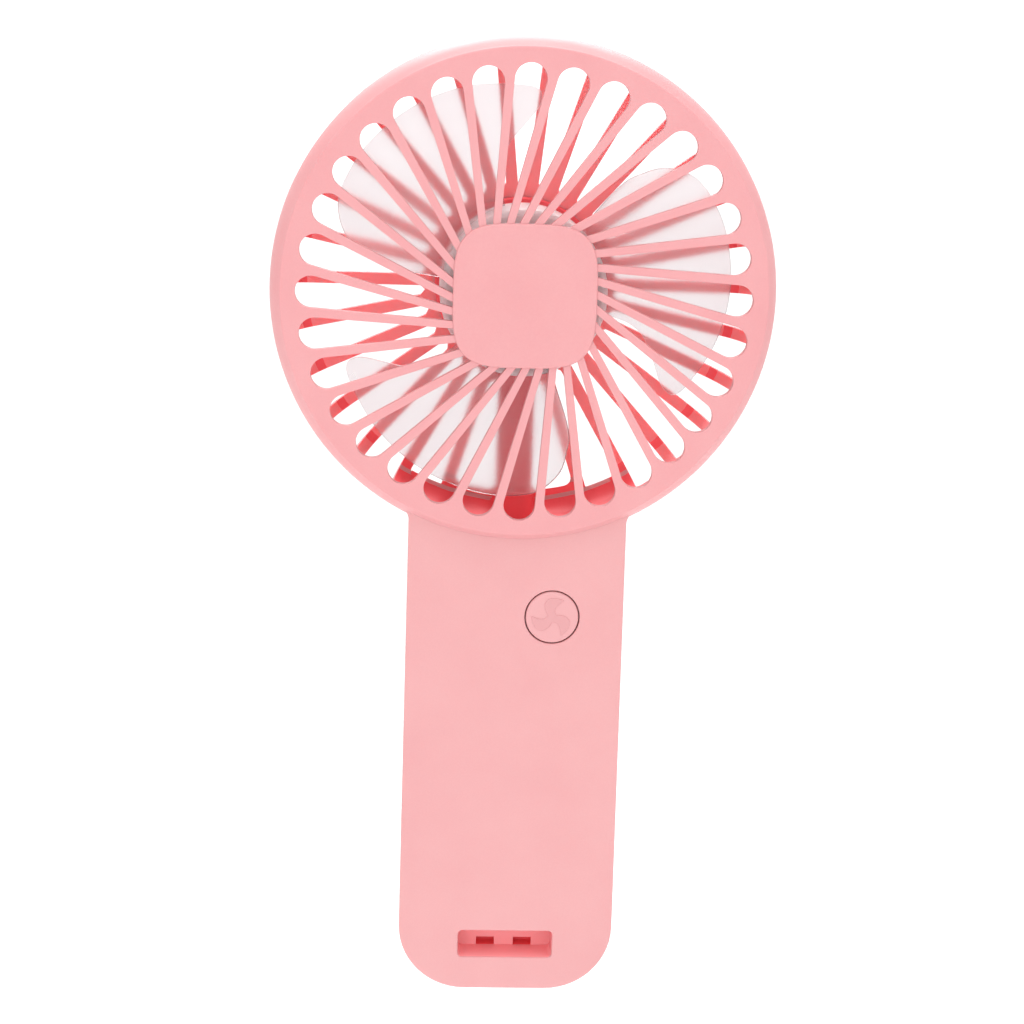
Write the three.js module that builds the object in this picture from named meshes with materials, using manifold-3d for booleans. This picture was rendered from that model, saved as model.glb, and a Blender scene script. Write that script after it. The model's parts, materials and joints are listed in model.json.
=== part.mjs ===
// Handheld electric fan: a round head with front and rear grilles on a flat battery handle.
//
// Frame: millimetres, +X to the right as seen from the front, +Y towards the back, +Z up.
// The origin is the centre of the handle's bottom face, midway through the head's depth.
// Angles round the head are degrees clockwise from the top, as seen from the front.

import * as THREE from 'three';
import { mergeVertices } from 'three/addons/utils/BufferGeometryUtils.js';
import Module from 'manifold-3d';

const wasm = await Module();
wasm.setup();

// ---------------------------------------------------------------- driving dimensions

// Overall
const HANDLE_LENGTH = 100.5;    // base to the underside of the head
const HEAD_RADIUS = 52.5;
const HEAD_DEPTH = 28;          // raised boss at the front to the rear face
const HANDLE_DEPTH = 23;
const NECK_WIDTH = 45.8;        // handle width just under the head
const BASE_WIDTH = 46.6;        // handle width near the bottom
const BASE_CORNER = 14.5;       // radius of the handle's bottom corners
const NECK_FILLET = 3;          // between the handle's sides and the head
const EDGE_ROUND = 3.5;         // along the handle's long edges
const WALL = 1.8;               // moulded wall thickness
const SEAM = 0.15;              // gap at the joint faces of the mouldings
const SLIP = 0.25;              // clearance round a piece that slides or snaps in

// Front grille
const BOSS_RISE = 0.5;          // raised centre above the grille face
const BOSS_HALF = 14.8;         // half width of the squared-off round boss
const BOSS_POWER = 3.75;        // superellipse exponent of the boss outline
const FACE_ROUND = 0.5;         // rounded front edge of the grille cover
const COVER_CROWN = 2.2;          // how far the cover's side swells behind that edge
const COVER_SKIRT = 8;          // depth of the cover's side wall
const SPOKE_COUNT = 32;
const SPOKE_OFFSET = 7.1;       // the spokes are tangent to this circle
const SPOKE_INNER = 1.5;        // spoke width near the boss
const SPOKE_OUTER = 1.84;       // spoke width at the rim
const SLOT_RIM = 2.8;           // flat rim outside the slots' round ends

// Rear grille
const REAR_ROUND = 8;           // rounding from the side wall to the rear face
const BAR_COUNT = 30;
const BAR_WIDTH = 2.5;
const REAR_HUB_RIM = 3;         // from the hub's radius to the rear slots' inner ends
const REAR_SLOT_MIN = 1.8;      // width of a rear slot at its inner end
const REAR_SLOT_WRAP = 9;       // how far forward the rear slots run over the rounding
const REAR_SLOT_SHORT = 46.4;   // outer radius of the slots above the handle
const DUCT_WIDTH = 7.7;         // web that carries the motor wires

// Impeller
const BLADE_COUNT = 3;
const BLADE_REACH = 44.1;       // largest blade radius
const BLADE_THICK = 0.9;
const BLADE_FRONT = 4.8;        // depth of the leading edge behind the grille face
const BLADE_DROP = 15.9;        // how far back the trailing edge lies from there
const HUB_GAP = 1.45;           // between the hub's wall and the motor seat
const HUB_WALL = 1.5;
const HUB_FRONT = 4.5;          // depth of the hub's face behind the grille face
const HUB_BACK = 21.5;

// Motor
const MOTOR_RADIUS = 12.2;
const MOTOR_FRONT = 11;         // depth of the can's face behind the grille face
const MOTOR_CAN = 10.7;         // can length
const MOTOR_CAP = 1.7;          // end cap thickness
const CAN_WALL = 0.8;
const SHAFT_RADIUS = 1;
const BORE_CLEARANCE = 0.06;    // round the shaft
const DAMPER_WALL = 0.8;        // rubber sleeve round the can

// Handle contents
const CELL_RADIUS = 9.2;        // 18650 cell
const CELL_LENGTH = 65;
const CELL_BOTTOM = 19.5;
const CELL_X = -9.8;
const BUTTON_X = 7.9;
const BUTTON_DROP = 15.8;       // button centre below the underside of the head
const BUTTON_RADIUS = 5.6;
const BUTTON_TRAVEL = 0.4;
const BOARD_LEFT = 1.2;
const BOARD_RIGHT = 19.8;
const BOARD_LENGTH = 57;
const BOARD_THICK = 1.2;
const BOARD_Y = -3.2;           // front face of the board
const PORT_HEIGHT = 48;         // centre of the charging port above the base
const PORT_WIDTH = 8.94;
const PORT_THICK = 3.26;
const PORT_LENGTH = 7.3;
const SCREW_X = 17.2;
const SCREW_LOW = 14.6;         // height of the lower housing screws
const SCREW_DROP = 5;           // upper housing screws below the underside of the head
const WIRE_RADIUS = 0.6;

// Lanyard recess in the handle's front, near the bottom
const RECESS_HALF = 10.3;
const RECESS_LOW = 7.3;
const RECESS_HIGH = 13.5;
const RECESS_DEPTH = 7.2;
const WINDOW_WIDTH = 4;
const WINDOW_HEIGHT = 1.8;
const LANYARD_WEB = 4.2;        // bar between the two windows that the cord loops round
const LANYARD_WEB_DEPTH = 1.2;
const LANYARD_CHANNEL = 1.7;    // passage behind that bar

// ---------------------------------------------------------------- derived planes and radii

const HEAD_HEIGHT = HANDLE_LENGTH + HEAD_RADIUS; // head centre above the base
const FRONT = -HEAD_DEPTH / 2;
const FACE = FRONT + BOSS_RISE;
const REAR = HEAD_DEPTH / 2;
const PLATE = REAR - WALL;                       // inner face of the rear plate
const HANDLE_FRONT = -HANDLE_DEPTH / 2;
const HANDLE_BACK = HANDLE_DEPTH / 2;
const COVER_BACK = FACE + COVER_SKIRT;
const HEAD_BORE = HEAD_RADIUS - WALL;
const FACE_FLAT = HEAD_RADIUS - COVER_CROWN - FACE_ROUND;
const SLOT_TIP = FACE_FLAT - SLOT_RIM;
const NECK_ARC = HEAD_RADIUS + WALL;             // roof of the handle's hollow
const BUTTON_Z = HANDLE_LENGTH - BUTTON_DROP;
const SCREW_HIGH = HANDLE_LENGTH - SCREW_DROP;
const CELL_TOP = CELL_BOTTOM + CELL_LENGTH;
const BOARD_TOP = BUTTON_Z + 6.8;
const BOARD_BOTTOM = BOARD_TOP - BOARD_LENGTH;
const BOARD_BACK = BOARD_Y + BOARD_THICK;
const CAN_FRONT = FACE + MOTOR_FRONT;
const CAN_BACK = CAN_FRONT + MOTOR_CAN;
const MOTOR_BACK = CAN_BACK + MOTOR_CAP;
const SEAT_BORE = MOTOR_RADIUS + DAMPER_WALL + SEAM;
const SEAT_OUTER = SEAT_BORE + 1.3;
const HUB_RADIUS = SEAT_OUTER + HUB_GAP + HUB_WALL;
const REAR_HUB = HUB_RADIUS + REAR_HUB_RIM;
const DUCT_FRONT = PLATE - 3.6;
const FOOT_FRONT = HANDLE_BACK - WALL - 5;       // the duct's foot covers the wires beside the wall
const CHANNEL_HALF = DUCT_WIDTH / 2 - 1.45;
const RIGHT = Math.PI / 2;
const HEAD_SIDES = 72;                           // facets round the head

// ---------------------------------------------------------------- materials

function plastic(color, roughness = 0.5) {
  return new THREE.MeshStandardMaterial({ color, roughness, metalness: 0 });
}

function metal(color, roughness = 0.35) {
  return new THREE.MeshStandardMaterial({ color, roughness, metalness: 1 });
}

const PINK = plastic(0xfdb3b5);
const CLEAR = plastic(0xf4eeee, 0.25);
const STEEL = metal(0xb9bcc0);
const SCREW_STEEL = metal(0x8f9296);
const COPPER = metal(0xb5673a, 0.4);
const BRASS = metal(0xc9a24e);
const NICKEL = metal(0xcfcfcb);
const BRONZE = metal(0x9a7148, 0.5);
const FERRITE = plastic(0x3a3a3c, 0.7);
const BLACK = plastic(0x202124);
const WHITE = plastic(0xf2f0ea);
const RUBBER = plastic(0x2b2b2d, 0.85);
const FOAM = plastic(0x4a4c50, 0.95);
const CELL_WRAP = plastic(0x3f7fb8, 0.4);
const BOARD_GREEN = plastic(0x1f6b43, 0.45);
const WIRE_RED = plastic(0xc32a26, 0.4);
const WIRE_BLACK = plastic(0x1b1b1c, 0.4);

// ---------------------------------------------------------------- solids

function radians(degrees) {
  return degrees * Math.PI / 180;
}

// A closed three.js geometry as a solid with outward faces.
function solid(geometry) {
  const bare = geometry.index ? geometry.toNonIndexed() : geometry.clone();
  for (const name of Object.keys(bare.attributes)) {
    if (name !== 'position') bare.deleteAttribute(name);
  }
  const merged = mergeVertices(bare, 1e-4);
  const corners = Array.from(merged.index.array);
  const triangles = [];
  for (let i = 0; i < corners.length; i += 3) {
    const [a, b, c] = corners.slice(i, i + 3);
    if (a !== b && b !== c && c !== a) triangles.push(a, b, c);
  }
  const vertProperties = new Float32Array(merged.attributes.position.array);
  const build = (tris) => new wasm.Manifold(new wasm.Mesh({
    numProp: 3, vertProperties, triVerts: new Uint32Array(tris),
  }));
  const made = build(triangles);
  return made.volume() > 0 ? made : build(triangles.reverse());
}

function join(...solids) {
  return solids.reduce((whole, next) => whole.add(next));
}

function cut(body, ...tools) {
  return tools.reduce((whole, tool) => whole.subtract(tool), body);
}

// Extrudes an outline drawn in (x, z) from y0 to y1, with an optional rounded or chamfered edge.
function slab(shape, y0, y1, round = 0, steps = 3) {
  const geometry = new THREE.ExtrudeGeometry(shape, {
    depth: y1 - y0 - 2 * round,
    steps: 1,
    curveSegments: 6,
    bevelEnabled: round > 0,
    bevelThickness: round,
    bevelSize: round,
    bevelOffset: -round,
    bevelSegments: steps,
  });
  geometry.rotateX(RIGHT);
  geometry.translate(0, y1 - round, 0);
  return solid(geometry);
}

// Turns a profile of [radius, y] points about the Y axis.
function turned(profile, segments = 24) {
  const points = profile.map(([r, y]) => new THREE.Vector2(r, y));
  return solid(new THREE.LatheGeometry(points, segments));
}

function closed(profile) {
  return [...profile, profile[0]];
}

function box(x0, x1, y0, y1, z0, z1) {
  const geometry = new THREE.BoxGeometry(x1 - x0, y1 - y0, z1 - z0);
  geometry.translate((x0 + x1) / 2, (y0 + y1) / 2, (z0 + z1) / 2);
  return solid(geometry);
}

function rodY(x, z, radius, y0, y1, segments = 20) {
  const geometry = new THREE.CylinderGeometry(radius, radius, y1 - y0, segments);
  geometry.translate(x, (y0 + y1) / 2, z);
  return solid(geometry);
}

function rodZ(x, y, radius, z0, z1, segments = 32) {
  const geometry = new THREE.CylinderGeometry(radius, radius, z1 - z0, segments);
  geometry.rotateX(RIGHT);
  geometry.translate(x, y, (z0 + z1) / 2);
  return solid(geometry);
}

// A ring about the Y axis.
function ring(inner, outer, y0, y1, segments = 32) {
  return turned(closed([[inner, y0], [outer, y0], [outer, y1], [inner, y1]]), segments);
}

function polygon(points) {
  const shape = new THREE.Shape();
  shape.setFromPoints(points.map(([x, z]) => new THREE.Vector2(x, z)));
  return shape;
}

// A rounded rectangle centred on (x, z).
function roundedRect(x, z, halfX, halfZ, radius) {
  const shape = new THREE.Shape();
  shape.moveTo(x - halfX + radius, z - halfZ);
  shape.absarc(x + halfX - radius, z - halfZ + radius, radius, -RIGHT, 0);
  shape.absarc(x + halfX - radius, z + halfZ - radius, radius, 0, RIGHT);
  shape.absarc(x - halfX + radius, z + halfZ - radius, radius, RIGHT, 2 * RIGHT);
  shape.absarc(x - halfX + radius, z - halfZ + radius, radius, 2 * RIGHT, 3 * RIGHT);
  return shape;
}

// A point at a radius and a clockwise angle from the top.
function polar(radius, angle) {
  return [radius * Math.sin(radians(angle)), radius * Math.cos(radians(angle))];
}

function quarterRound(cx, cy, radiusX, radiusY, from, to, steps) {
  return Array.from({ length: steps + 1 }, (_, i) => {
    const angle = radians(from + (to - from) * i / steps);
    return [cx + radiusX * Math.cos(angle), cy + radiusY * Math.sin(angle)];
  });
}

function toGeometry(manifold) {
  const mesh = manifold.getMesh();
  const geometry = new THREE.BufferGeometry();
  geometry.setAttribute('position', new THREE.BufferAttribute(mesh.vertProperties, 3));
  geometry.setIndex(new THREE.BufferAttribute(mesh.triVerts, 1));
  geometry.computeVertexNormals();
  return geometry;
}

const fan = new THREE.Group();
const head = new THREE.Group();
head.position.z = HEAD_HEIGHT;
fan.add(head);

function place(group, name, manifold, material) {
  const mesh = new THREE.Mesh(toGeometry(manifold), material);
  mesh.name = name;
  group.add(mesh);
}

// ---------------------------------------------------------------- front grille cover

// Side of the cover: the radius at a depth behind the face, past its rounded edge.
function coverRadius(y) {
  const start = FACE + FACE_ROUND;
  const t = Math.min(1, Math.max(0, (y - start) / (COVER_BACK - start)));
  return HEAD_RADIUS - COVER_CROWN * (1 - t) ** 3;
}

function coverSide(inset, from) {
  const steps = 4;
  return Array.from({ length: steps + 1 }, (_, i) => {
    const y = from + (COVER_BACK - from) * i / steps;
    return [coverRadius(y) - inset, y];
  });
}

function coverDish() {
  const round = quarterRound(FACE_FLAT, FACE + FACE_ROUND, FACE_ROUND, FACE_ROUND, -90, 0, 3);
  const outer = [...round, ...coverSide(0, FACE + FACE_ROUND).slice(1)];
  const inner = coverSide(WALL, FACE + WALL).reverse();
  return turned([[0, FACE], ...outer, ...inner, [0, FACE + WALL]], HEAD_SIDES);
}

// Direction along a spoke and its left-hand normal, in (x, z).
function spokeFrame(index) {
  const lean = Math.asin(SPOKE_OFFSET / (SLOT_TIP - 3));
  const angle = radians((index + 0.5) * 360 / SPOKE_COUNT) + lean;
  const along = new THREE.Vector2(Math.sin(angle), Math.cos(angle));
  const left = new THREE.Vector2(-Math.cos(angle), Math.sin(angle));
  return { angle, along, left };
}

// Point on one edge of a spoke where it crosses a circle; side is +1 for its left edge.
function spokeEdge(spoke, radius, halfWidth, side) {
  const offset = SPOKE_OFFSET + side * halfWidth;
  const reach = Math.sqrt(radius ** 2 - offset ** 2);
  return spoke.left.clone().multiplyScalar(offset).addScaledVector(spoke.along, reach);
}

// Centre of the circle of a given radius that touches the spokes on both sides of a slot.
function slotCircle(before, after, radius) {
  const a = SPOKE_OFFSET - SPOKE_OUTER / 2 - radius;
  const b = SPOKE_OFFSET + SPOKE_OUTER / 2 + radius;
  const [p, q] = [before.left, after.left];
  const det = p.x * q.y - p.y * q.x;
  return new THREE.Vector2((a * q.y - b * p.y) / det, (b * p.x - a * q.x) / det);
}

// Opening between two spokes: a full round outer end that narrows towards the boss.
function frontSlot(index) {
  const before = spokeFrame(index - 1);
  const after = spokeFrame(index);
  let [low, high] = [0.5, 6];
  for (let i = 0; i < 40; i += 1) {
    const middle = (low + high) / 2;
    const reach = slotCircle(before, after, middle).length() + middle;
    if (reach > SLOT_TIP) high = middle;
    else low = middle;
  }
  const centre = slotCircle(before, after, low);
  const inner = BOSS_HALF - 1.3;
  const slot = new THREE.Shape();
  const start = spokeEdge(after, inner, SPOKE_INNER / 2, 1);
  const end = spokeEdge(before, inner, SPOKE_INNER / 2, -1);
  slot.moveTo(start.x, start.y);
  slot.absarc(centre.x, centre.y, low, -after.angle, Math.PI - before.angle);
  slot.lineTo(end.x, end.y);
  slot.closePath();
  return slot;
}

function bossOutline() {
  const steps = 40;
  const points = Array.from({ length: steps }, (_, i) => {
    const angle = 2 * Math.PI * i / steps;
    const [c, s] = [Math.cos(angle), Math.sin(angle)];
    const grow = (Math.abs(c) ** BOSS_POWER + Math.abs(s) ** BOSS_POWER) ** (-1 / BOSS_POWER);
    return [BOSS_HALF * grow * c, BOSS_HALF * grow * s];
  });
  return polygon(points);
}

function frontGrille() {
  const slots = Array.from({ length: SPOKE_COUNT }, (_, i) => (
    slab(frontSlot(i), FACE - 1, FACE + WALL + 1)));
  const boss = slab(bossOutline(), FRONT, FACE + WALL, 0.4, 1);
  return join(cut(coverDish(), ...slots), boss);
}

place(head, 'front_grille', frontGrille(), PINK);

// ---------------------------------------------------------------- handle outline

// Handle outline in (x, z), inset from the outer surface. It runs up into the head.
function handleOutline(inset, roof) {
  const neck = NECK_WIDTH / 2 - inset;
  const base = BASE_WIDTH / 2 - inset;
  const corner = BASE_CORNER - inset;
  const shape = new THREE.Shape();
  shape.moveTo(-base + corner, inset);
  shape.absarc(base - corner, inset + corner, corner, -RIGHT, 0);
  if (roof) {
    const edge = Math.asin(neck / roof);
    shape.absarc(0, HEAD_HEIGHT, roof, -RIGHT + edge, -RIGHT - edge, true);
  } else {
    const reach = coverRadius(HANDLE_FRONT) + NECK_FILLET;
    const side = neck + NECK_FILLET;
    const drop = Math.sqrt(reach ** 2 - side ** 2);
    const turn = Math.atan2(drop, side);
    const root = (HEAD_BORE - 2 * EDGE_ROUND) / reach;
    const z = HEAD_HEIGHT - drop;
    shape.absarc(side, z, NECK_FILLET, Math.PI, Math.PI - turn, true);
    shape.lineTo(side * root, HEAD_HEIGHT - drop * root);
    shape.lineTo(-side * root, HEAD_HEIGHT - drop * root);
    shape.absarc(-side, z, NECK_FILLET, turn, 0, true);
  }
  shape.absarc(-base + corner, inset + corner, corner, Math.PI, 3 * RIGHT);
  return shape;
}

function handleBlock() {
  return slab(handleOutline(0), HANDLE_FRONT, HANDLE_BACK, EDGE_ROUND, 4);
}

function handleHollow() {
  return slab(handleOutline(WALL, NECK_ARC), HANDLE_FRONT + WALL, HANDLE_BACK - WALL, 1.4, 1);
}

function raised(manifold) {
  return manifold.translate([0, 0, HEAD_HEIGHT]);
}

function half(front) {
  const far = HEAD_RADIUS + REAR;
  const [y0, y1] = front ? [-far, -SEAM / 2] : [SEAM / 2, far];
  return box(-far, far, y0, y1, -far, HEAD_HEIGHT + far);
}

// Rounded rear corner of the head, from the side wall to the rear face.
function rearCorner(radius, steps) {
  return quarterRound(HEAD_RADIUS - REAR_ROUND, REAR - REAR_ROUND, radius, radius, 0, 90, steps);
}

// Everything inside the head that the handle must not fill.
function headBore() {
  return raised(turned([
    [0, FRONT - 1], [HEAD_BORE, FRONT - 1], ...rearCorner(REAR_ROUND - WALL, 4), [0, PLATE],
  ], HEAD_SIDES));
}

// ---------------------------------------------------------------- openings and bosses in the shells

const SCREW_PLACES = [
  [-SCREW_X, SCREW_LOW], [SCREW_X, SCREW_LOW], [-SCREW_X, SCREW_HIGH], [SCREW_X, SCREW_HIGH],
];
const SCREW_SHANK = 0.9;
const SCREW_HEAD = 1.9;
const SCREW_HEAD_THICK = 1.3;
const SCREW_LENGTH = 10;
const SCREW_BOSS = 2.7;
const SCREW_SEAT = HANDLE_BACK - 5;              // where the screw heads bear
const BOARD_PLACES = [[BOARD_LEFT + 3, BOARD_BOTTOM + 6], [BOARD_RIGHT - 3, BOARD_TOP - 11.5]];
const BOARD_BOSS = 2;
const BOARD_SHANK = 0.75;

function portOpening() {
  const x1 = BASE_WIDTH;
  const middle = BOARD_BACK + 0.05 + PORT_THICK / 2;
  const reach = PORT_THICK / 2 + SLIP;
  return box(BOARD_RIGHT, x1, middle - reach, middle + reach,
    PORT_HEIGHT - PORT_WIDTH / 2 - SLIP, PORT_HEIGHT + PORT_WIDTH / 2 + SLIP);
}

// Ribs that hold the cell on one side of the joint plane.
function cellRibs(front) {
  const wall = front ? HANDLE_FRONT + WALL / 2 : HANDLE_BACK - WALL / 2;
  const edge = front ? -4 : 4;
  const [y0, y1] = front ? [wall, edge] : [edge, wall];
  const side = CELL_RADIUS + 1.6;
  const ribs = [0.2, 0.8].map((share) => {
    const z = CELL_BOTTOM + share * CELL_LENGTH;
    return box(CELL_X - side, CELL_X + side, y0, y1, z - 0.7, z + 0.7);
  });
  return cut(join(...ribs), rodZ(CELL_X, 0, CELL_RADIUS + SLIP, CELL_BOTTOM, CELL_TOP));
}

function recessBlock() {
  const side = RECESS_HALF + WALL;
  return box(-side, side, HANDLE_FRONT + WALL / 2, -SEAM, RECESS_LOW - WALL, RECESS_HIGH + WALL);
}

function recessCuts() {
  const back = HANDLE_FRONT + RECESS_DEPTH;
  const middle = (RECESS_LOW + RECESS_HIGH) / 2;
  const mouth = roundedRect(0, middle, RECESS_HALF, (RECESS_HIGH - RECESS_LOW) / 2, 1);
  const behind = back + LANYARD_WEB_DEPTH;
  const sill = RECESS_LOW + WINDOW_HEIGHT;
  const outer = LANYARD_WEB / 2 + WINDOW_WIDTH;
  return [
    slab(mouth, HANDLE_FRONT - 2, back),
    box(-outer, -LANYARD_WEB / 2, back - 0.5, behind + 0.5, RECESS_LOW, sill),
    box(LANYARD_WEB / 2, outer, back - 0.5, behind + 0.5, RECESS_LOW, sill),
    box(-outer, outer, behind, behind + LANYARD_CHANNEL, RECESS_LOW, sill),
  ];
}

// ---------------------------------------------------------------- front shell

function frontRing() {
  const spigot = COVER_BACK - 4.5;
  const fit = WALL + SLIP;
  const inner = HEAD_BORE - SLIP - 1.4;
  const top = [[coverRadius(spigot) - fit, spigot], [coverRadius(COVER_BACK) - fit, COVER_BACK]];
  const profile = [
    [inner, spigot], ...top, [coverRadius(COVER_BACK) - fit, COVER_BACK + SEAM],
    [HEAD_RADIUS, COVER_BACK + SEAM], [HEAD_RADIUS, -SEAM / 2], [HEAD_BORE, -SEAM / 2],
    [HEAD_BORE, COVER_BACK + 2], [inner, COVER_BACK + 1],
  ];
  return raised(turned(closed(profile), HEAD_SIDES));
}

// Round pocket at the top of the handle that the grille cover drops into.
function coverPocket() {
  const side = coverSide(-SLIP, FACE + FACE_ROUND);
  const front = FRONT - 1;
  const back = COVER_BACK + SEAM;
  return raised(turned([
    [0, front], [side[0][0], front], ...side, [HEAD_RADIUS + SLIP, back], [0, back],
  ], HEAD_SIDES));
}

function frontShell() {
  const posts = SCREW_PLACES.map(([x, z]) => (
    rodY(x, z, SCREW_BOSS, HANDLE_FRONT + WALL / 2, -SEAM / 2)));
  const boardPosts = BOARD_PLACES.map(([x, z]) => (
    rodY(x, z, BOARD_BOSS, HANDLE_FRONT + WALL / 2, BOARD_Y - SEAM)));
  const pilots = SCREW_PLACES.map(([x, z]) => (
    rodY(x, z, SCREW_SHANK + 0.08, HANDLE_FRONT + WALL, 1)));
  const boardPilots = BOARD_PLACES.map(([x, z]) => (
    rodY(x, z, BOARD_SHANK + 0.08, HANDLE_FRONT + WALL, 1, 16)));
  const buttonHole = rodY(BUTTON_X, BUTTON_Z, BUTTON_RADIUS + SLIP, HANDLE_FRONT - 1,
    HANDLE_FRONT + 2 * WALL, 40);
  const shell = cut(handleBlock(), headBore(), handleHollow(), coverPocket());
  const filled = join(shell.intersect(half(true)), frontRing(), recessBlock(), cellRibs(true),
    ...posts, ...boardPosts);
  return cut(filled, buttonHole, portOpening(), ...recessCuts(), ...pilots, ...boardPilots);
}

place(fan, 'front_shell', frontShell(), PINK);

// ---------------------------------------------------------------- rear shell

function rearDish() {
  return raised(turned([
    [0, PLATE], ...rearCorner(REAR_ROUND - WALL, 4).reverse(),
    [HEAD_BORE, SEAM / 2], [HEAD_RADIUS, SEAM / 2], ...rearCorner(REAR_ROUND, 5), [0, REAR],
  ], HEAD_SIDES));
}

// Point at a radius on a line parallel to a radial line; offset is to the right of that line.
function besideRadius(angle, offset, radius) {
  const along = polar(1, angle);
  const reach = Math.sqrt(radius ** 2 - offset ** 2);
  return [along[0] * reach + along[1] * offset, along[1] * reach - along[0] * offset];
}

// Opening between the bars on both sides, or between a bar and the wire duct.
function rearSlot(index) {
  const pitch = 360 / BAR_COUNT;
  const centre = index * pitch;
  const fromDuct = Math.abs(centre - 180) / pitch;
  const nextToShort = (REAR_SLOT_SHORT + HEAD_RADIUS) / 2;
  const outer = fromDuct < 1.5 ? REAR_SLOT_SHORT : fromDuct < 2.5 ? nextToShort : HEAD_RADIUS + 3;
  const half = BAR_WIDTH / 2;
  let sides = [[centre - pitch / 2, half], [centre + pitch / 2, -half]];
  let inner = REAR_HUB;
  if (fromDuct < 1.5) {
    const ductSide = [180, (centre < 180 ? -1 : 1) * DUCT_WIDTH / 2];
    sides = centre < 180 ? [sides[0], ductSide] : [ductSide, sides[1]];
    inner = REAR_HUB + 1.5;
  }
  const trim = 1.6;
  const points = [
    besideRadius(...sides[0], inner + REAR_SLOT_MIN / 2),
    besideRadius(...sides[0], outer - trim),
    besideRadius(sides[0][0], sides[0][1] + trim, outer),
    besideRadius(sides[1][0], sides[1][1] - trim, outer),
    besideRadius(...sides[1], outer - trim),
    besideRadius(...sides[1], inner + REAR_SLOT_MIN / 2),
    polar(inner, centre + (fromDuct < 1.5 ? Math.sign(180 - centre) * -1.5 : 0)),
  ];
  return raised(slab(polygon(points.reverse()), REAR - REAR_SLOT_WRAP, REAR + 1));
}

function motorSeat() {
  const root = PLATE + WALL / 2;
  const lip = CAN_FRONT + 5.5;
  const ledge = MOTOR_BACK + SEAM;
  const inner = MOTOR_RADIUS - 1.8;
  const seat = turned(closed([
    [SEAT_BORE, lip], [SEAT_OUTER, lip], [SEAT_OUTER, root], [inner, root], [inner, ledge],
    [SEAT_BORE, ledge],
  ]), 40);
  const collar = ring(HUB_RADIUS - 1, HUB_RADIUS + 0.9, PLATE - 2.6, root, 48);
  return raised(join(seat, collar));
}

function wireDuct() {
  const half = DUCT_WIDTH / 2;
  const wall = HEAD_HEIGHT - HEAD_BORE - WALL / 2;
  const duct = join(
    box(-half, half, DUCT_FRONT, PLATE + WALL / 2, wall, HEAD_HEIGHT - SEAT_BORE - 0.6),
    box(-half, half, FOOT_FRONT, DUCT_FRONT + 1, wall, HEAD_HEIGHT - BLADE_REACH - 0.6),
  );
  const insideDish = raised(turned([
    [0, SEAM], [HEAD_RADIUS - WALL / 2, SEAM], ...rearCorner(REAR_ROUND - WALL / 2, 5), [0, REAR - WALL / 2],
  ], HEAD_SIDES));
  return duct.intersect(insideDish);
}

// The wires' way: up through the neck, back behind the blade tips and along inside the duct.
function wireWay() {
  const tip = HEAD_HEIGHT - BLADE_REACH - 1;
  const back = PLATE - 0.4;
  const neckBack = HANDLE_BACK - WALL - 0.6;
  return [
    box(-CHANNEL_HALF, CHANNEL_HALF, neckBack - 3.2, neckBack, HEAD_HEIGHT - NECK_ARC - 3, tip),
    box(-CHANNEL_HALF, CHANNEL_HALF, neckBack - 3.2, back, HEAD_HEIGHT - HEAD_BORE + 1.5, tip),
    box(-CHANNEL_HALF, CHANNEL_HALF, DUCT_FRONT + 1.2, back, tip - 1, HEAD_HEIGHT - 9.7),
  ];
}

function rearShell() {
  const posts = SCREW_PLACES.map(([x, z]) => (
    rodY(x, z, SCREW_BOSS, SEAM / 2, HANDLE_BACK - WALL / 2)));
  const holes = SCREW_PLACES.flatMap(([x, z]) => [
    rodY(x, z, SCREW_SHANK + SLIP, -1, HANDLE_BACK + 1),
    rodY(x, z, SCREW_HEAD + SLIP, SCREW_SEAT, HANDLE_BACK + 1),
  ]);
  const slots = [];
  for (let i = 0; i < BAR_COUNT; i += 1) {
    if (i !== BAR_COUNT / 2) slots.push(rearSlot(i));
  }
  const handle = cut(handleBlock(), headBore(), handleHollow()).intersect(half(false));
  const dish = cut(rearDish(), ...slots);
  const whole = join(handle, dish, wireDuct(), motorSeat(), cellRibs(false), ...posts);
  return cut(whole, portOpening(), ...wireWay(), ...holes);
}

place(fan, 'rear_shell', rearShell(), PINK);

// ---------------------------------------------------------------- housing screws

function screw(x, z, seat, length, shank, headRadius, headThick) {
  const body = join(
    rodY(x, z, headRadius, seat, seat + headThick, 16),
    rodY(x, z, shank, seat - length, seat + headThick / 2, 12),
  );
  const wide = headRadius * 0.6;
  const narrow = headRadius * 0.16;
  const depth = seat + headThick * 0.5;
  const top = seat + headThick + 1;
  return cut(body, box(x - wide, x + wide, depth, top, z - narrow, z + narrow),
    box(x - narrow, x + narrow, depth, top, z - wide, z + wide));
}

SCREW_PLACES.forEach(([x, z], i) => {
  place(fan, `housing_screw_${i + 1}`, screw(x, z, SCREW_SEAT + SEAM, SCREW_LENGTH, SCREW_SHANK,
    SCREW_HEAD, SCREW_HEAD_THICK), SCREW_STEEL);
});

// ---------------------------------------------------------------- impeller

// Blade outline in degrees from the blade's own line and share of its reach,
// from the hub up the leading side, over the tip and back down the trailing side.
const BLADE_OUTLINE = [
  [-80, 0.38], [-80.5, 0.56], [-79.5, 0.7], [-77, 0.78], [-73, 0.88], [-66, 0.96], [-58, 0.988],
  [-48, 1], [-36, 1], [-25, 0.993], [-14, 0.978], [-4, 0.957], [2, 0.945], [4.2, 0.925],
  [4.8, 0.895], [4, 0.845], [0, 0.77], [-5, 0.7], [-9.5, 0.63], [-12.3, 0.56], [-13, 0.5], [-13, 0.38],
];

function bladeDepth(angle) {
  const [first, last] = [-80.5, 4.8];
  return FACE + BLADE_FRONT + BLADE_DROP * (angle - first) / (last - first);
}

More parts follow.
